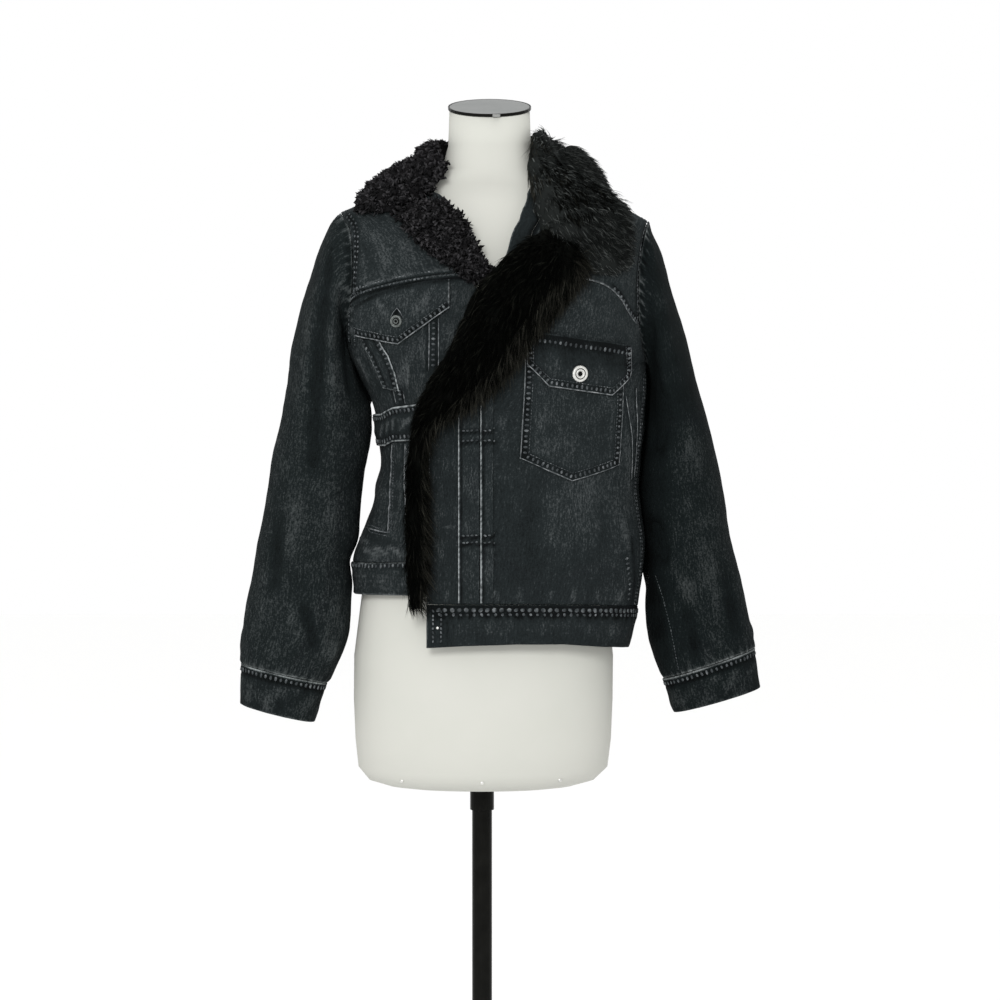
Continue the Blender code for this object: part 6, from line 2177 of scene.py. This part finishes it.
def settle(made, spot, outward):
    """Turns the piece's own mesh to face outward and puts it on its spot."""
    turn = Vector(outward).to_track_quat("Z", "Y").to_matrix().to_4x4()
    made.data.transform(Matrix.Translation(Vector(spot)) @ turn)
    made.data.update()


Button = namedtuple("Button", "name node slot finish half place lift radius height sides dark steps")
# Each button's dark rings of radii get painted shade, in its hole and its sunk groove.
BUTTONS = (
    Button(
        "right_flap_button_ring",
        "right_flap_button",
        "aged_metal",
        AGED_METAL,
        half=R,
        place=(-104, 582.5),
        lift=DENIM + PRESSED_STRIP + FLAP_CLOTH + 3 * LAY_GAP,
        radius=0.0076,
        height=0.0019,
        sides=40,
        dark=((0.0, 0.0015), (0.003, 0.0046)),
        steps=rows(
            Step,
            (0.0008, 0.0009), (0.001, 0.0002), (0.001, -0.0013), (0.0012, 0.0), (0.0005, 0.0009),
            (0.0006, 0.0), (0.0004, -0.0008),
        ),
    ),
    Button(
        "left_flap_button_face",
        "left_flap_button",
        "bright_metal",
        BRIGHT_METAL,
        half=L,
        place=(114, 519),
        lift=DENIM + POCKET_CLOTH + FLAP_CLOTH + 4.2 * LAY_GAP,
        radius=0.0102,
        height=0.0022,
        sides=48,
        dark=((0.0, 0.003), (0.0059, 0.0068)),
        steps=rows(
            Step,
            (0.0009, 0.0011), (0.0022, 0.0003), (0.0004, -0.0007), (0.0007, 0.0), (0.0004, 0.0006),
            (0.0017, -0.0002), (0.0005, -0.0011), (0.0009, 0.0),
        ),
    ),
)


def buttons():
    for button in BUTTONS:
        shape = (button.radius, button.height, button.steps, button.finish, button.sides)
        made = turned_disc(button.name, *shape, dark=button.dark)
        spot = button.half.front(*button.place)
        outward = button.half.normal(*spot)
        settle(made, button.half.point(*spot) + outward * button.lift, outward)
        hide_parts(button.node)


EYELET_PLACE = [(437.5, 628), (437.5, 628.6)]


def eyelet(waistband):
    """A bright dot on the waistband's end."""
    spot = waistband.seen(EYELET_PLACE)[0]
    hit, outward = waistband.outer_tree.find_nearest(Vector(spot))[:2]
    dot = turned_disc("waistband_eyelet", 0.0016, 0.0007, (Step(0.0006, 0.0003),), BRIGHT_METAL, 16, 0.0001)
    settle(dot, hit, outward)


RIVET_PLACES = ((401.6, 781), (482, 783), (560, 780))
RIVET_STEPS = (Step(0.0007, 0.0006), Step(0.0006, 0.0003), Step(0.0004, 0.0001))


def form_cover():
    """The form's own solid, smoothed, with three domed rivets near its lower edge."""
    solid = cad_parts["form_torso"]
    made = bpy.data.objects.new("form_torso_cover", solid.data.copy())
    bpy.context.scene.collection.objects.link(made)
    made.matrix_world = solid.matrix_world.copy()
    made.data.transform(made.matrix_world)
    made.matrix_world = Matrix.Identity(4)
    mesh = bmesh.new()
    mesh.from_mesh(made.data)
    bmesh.ops.remove_doubles(mesh, verts=list(mesh.verts), dist=0.00005)
    bmesh.ops.recalc_face_normals(mesh, faces=list(mesh.faces))
    mesh.to_mesh(made.data)
    points = np.array([tuple(vert.co) for vert in mesh.verts])
    faces = [[vert.index for vert in face.verts] for face in mesh.faces]
    tree = BVHTree.FromPolygons(points.tolist(), faces)
    mesh.free()
    made.data.materials.clear()
    made.data.materials.append(FORM_COVER)
    bpy.ops.object.select_all(action="DESELECT")
    bpy.context.view_layer.objects.active = made
    made.select_set(True)
    bpy.ops.object.shade_smooth_by_angle(angle=math.radians(50))
    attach(made, BODY)
    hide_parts("form_torso")
    for number, spot in enumerate(RIVET_PLACES):
        ray = sight(*spot)
        hit, outward = tree.ray_cast(VIEW_EYE, ray.normalized())[:2]
        if hit is None:
            hit, outward = tree.find_nearest(VIEW_EYE + ray)[:2]
        name = f"form_rivet_{number + 1}"
        rivet = turned_disc(name, 0.0025, 0.0006, RIVET_STEPS, BRIGHT_METAL, 20, 0.0001)
        settle(rivet, hit, Vector((outward.x, outward.y, 0)))


CAP_TILT = math.radians(13)
CLASP_SIZE = (0.0095, 0.0014, 0.0034, 1.0)
CLASP_ASIDE = 0.0085


def cap_clasp():
    """A small plate across the cap's black rim, just right of the middle of its front."""
    low, high = (Vector(corner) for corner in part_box("neck_cap_rim"))
    centre = (low + high) / 2
    bpy.ops.object.select_all(action="DESELECT")
    bpy.ops.mesh.primitive_cube_add(size=1.0)
    made = bpy.context.object
    made.name = made.data.name = "cap_clasp"
    made.data.transform(Matrix.Diagonal(CLASP_SIZE))
    bpy.ops.object.mode_set(mode="EDIT")
    bpy.ops.mesh.select_all(action="SELECT")
    bpy.ops.mesh.subdivide(number_cuts=2)
    bpy.ops.mesh.bevel(offset=0.0002, segments=1)
    bpy.ops.object.mode_set(mode="OBJECT")
    reach = (high.x - low.x) / 2
    forward = math.sqrt(reach**2 - CLASP_ASIDE**2) + SEAM_GAP
    drop = forward * math.tan(CAP_TILT)
    made.data.transform(Matrix.Rotation(math.atan2(CLASP_ASIDE, forward), 4, "Z"))
    made.data.transform(Matrix.Translation(centre + Vector((CLASP_ASIDE, -forward, -drop))))
    made.data.materials.append(CLASP_GREY)
    bpy.ops.object.shade_smooth_by_angle(angle=math.radians(30))
    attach(made, BODY)


def stand_finishes():
    """The cap, its rim and the stand keep their solids, with a finish each."""
    finishes = {"neck_cap": CAP_GREY, "neck_cap_rim": GLOSS_BLACK}
    for name in ("pole_collar", "stand_pole", "stand_hub", "stand_base"):
        finishes[name] = GLOSS_BLACK
    for name, finish in finishes.items():
        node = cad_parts[name]
        node.data.materials.clear()
        node.data.materials.append(finish)


# ---- making it all


RIGHT_HALF = (
    right_front_yoke, right_front_chest, right_front_skirt, right_front_hem_band, right_side_band,
    right_pocket_flap, right_waist_tab, right_back_yoke, right_back, right_back_hem_band,
    right_sleeve, right_cuff,
)
LEFT_HALF = (
    left_front_yoke, left_neck_facing, left_front, left_pleats, left_chest_pocket, left_pocket_flap,
    left_side_panel, left_back_waistband, left_back_yoke, left_back, left_sleeve, left_cuff,
)
TRIM = (right_pile_collar, right_pile_lapel, left_fur_collar, left_fur_strip, buttons)
FORM = (form_cover, cap_clasp, stand_finishes)


def main():
    for make in (*RIGHT_HALF, *LEFT_HALF, *TRIM, *FORM):
        make()
    eyelet(left_front_waistband())


main()
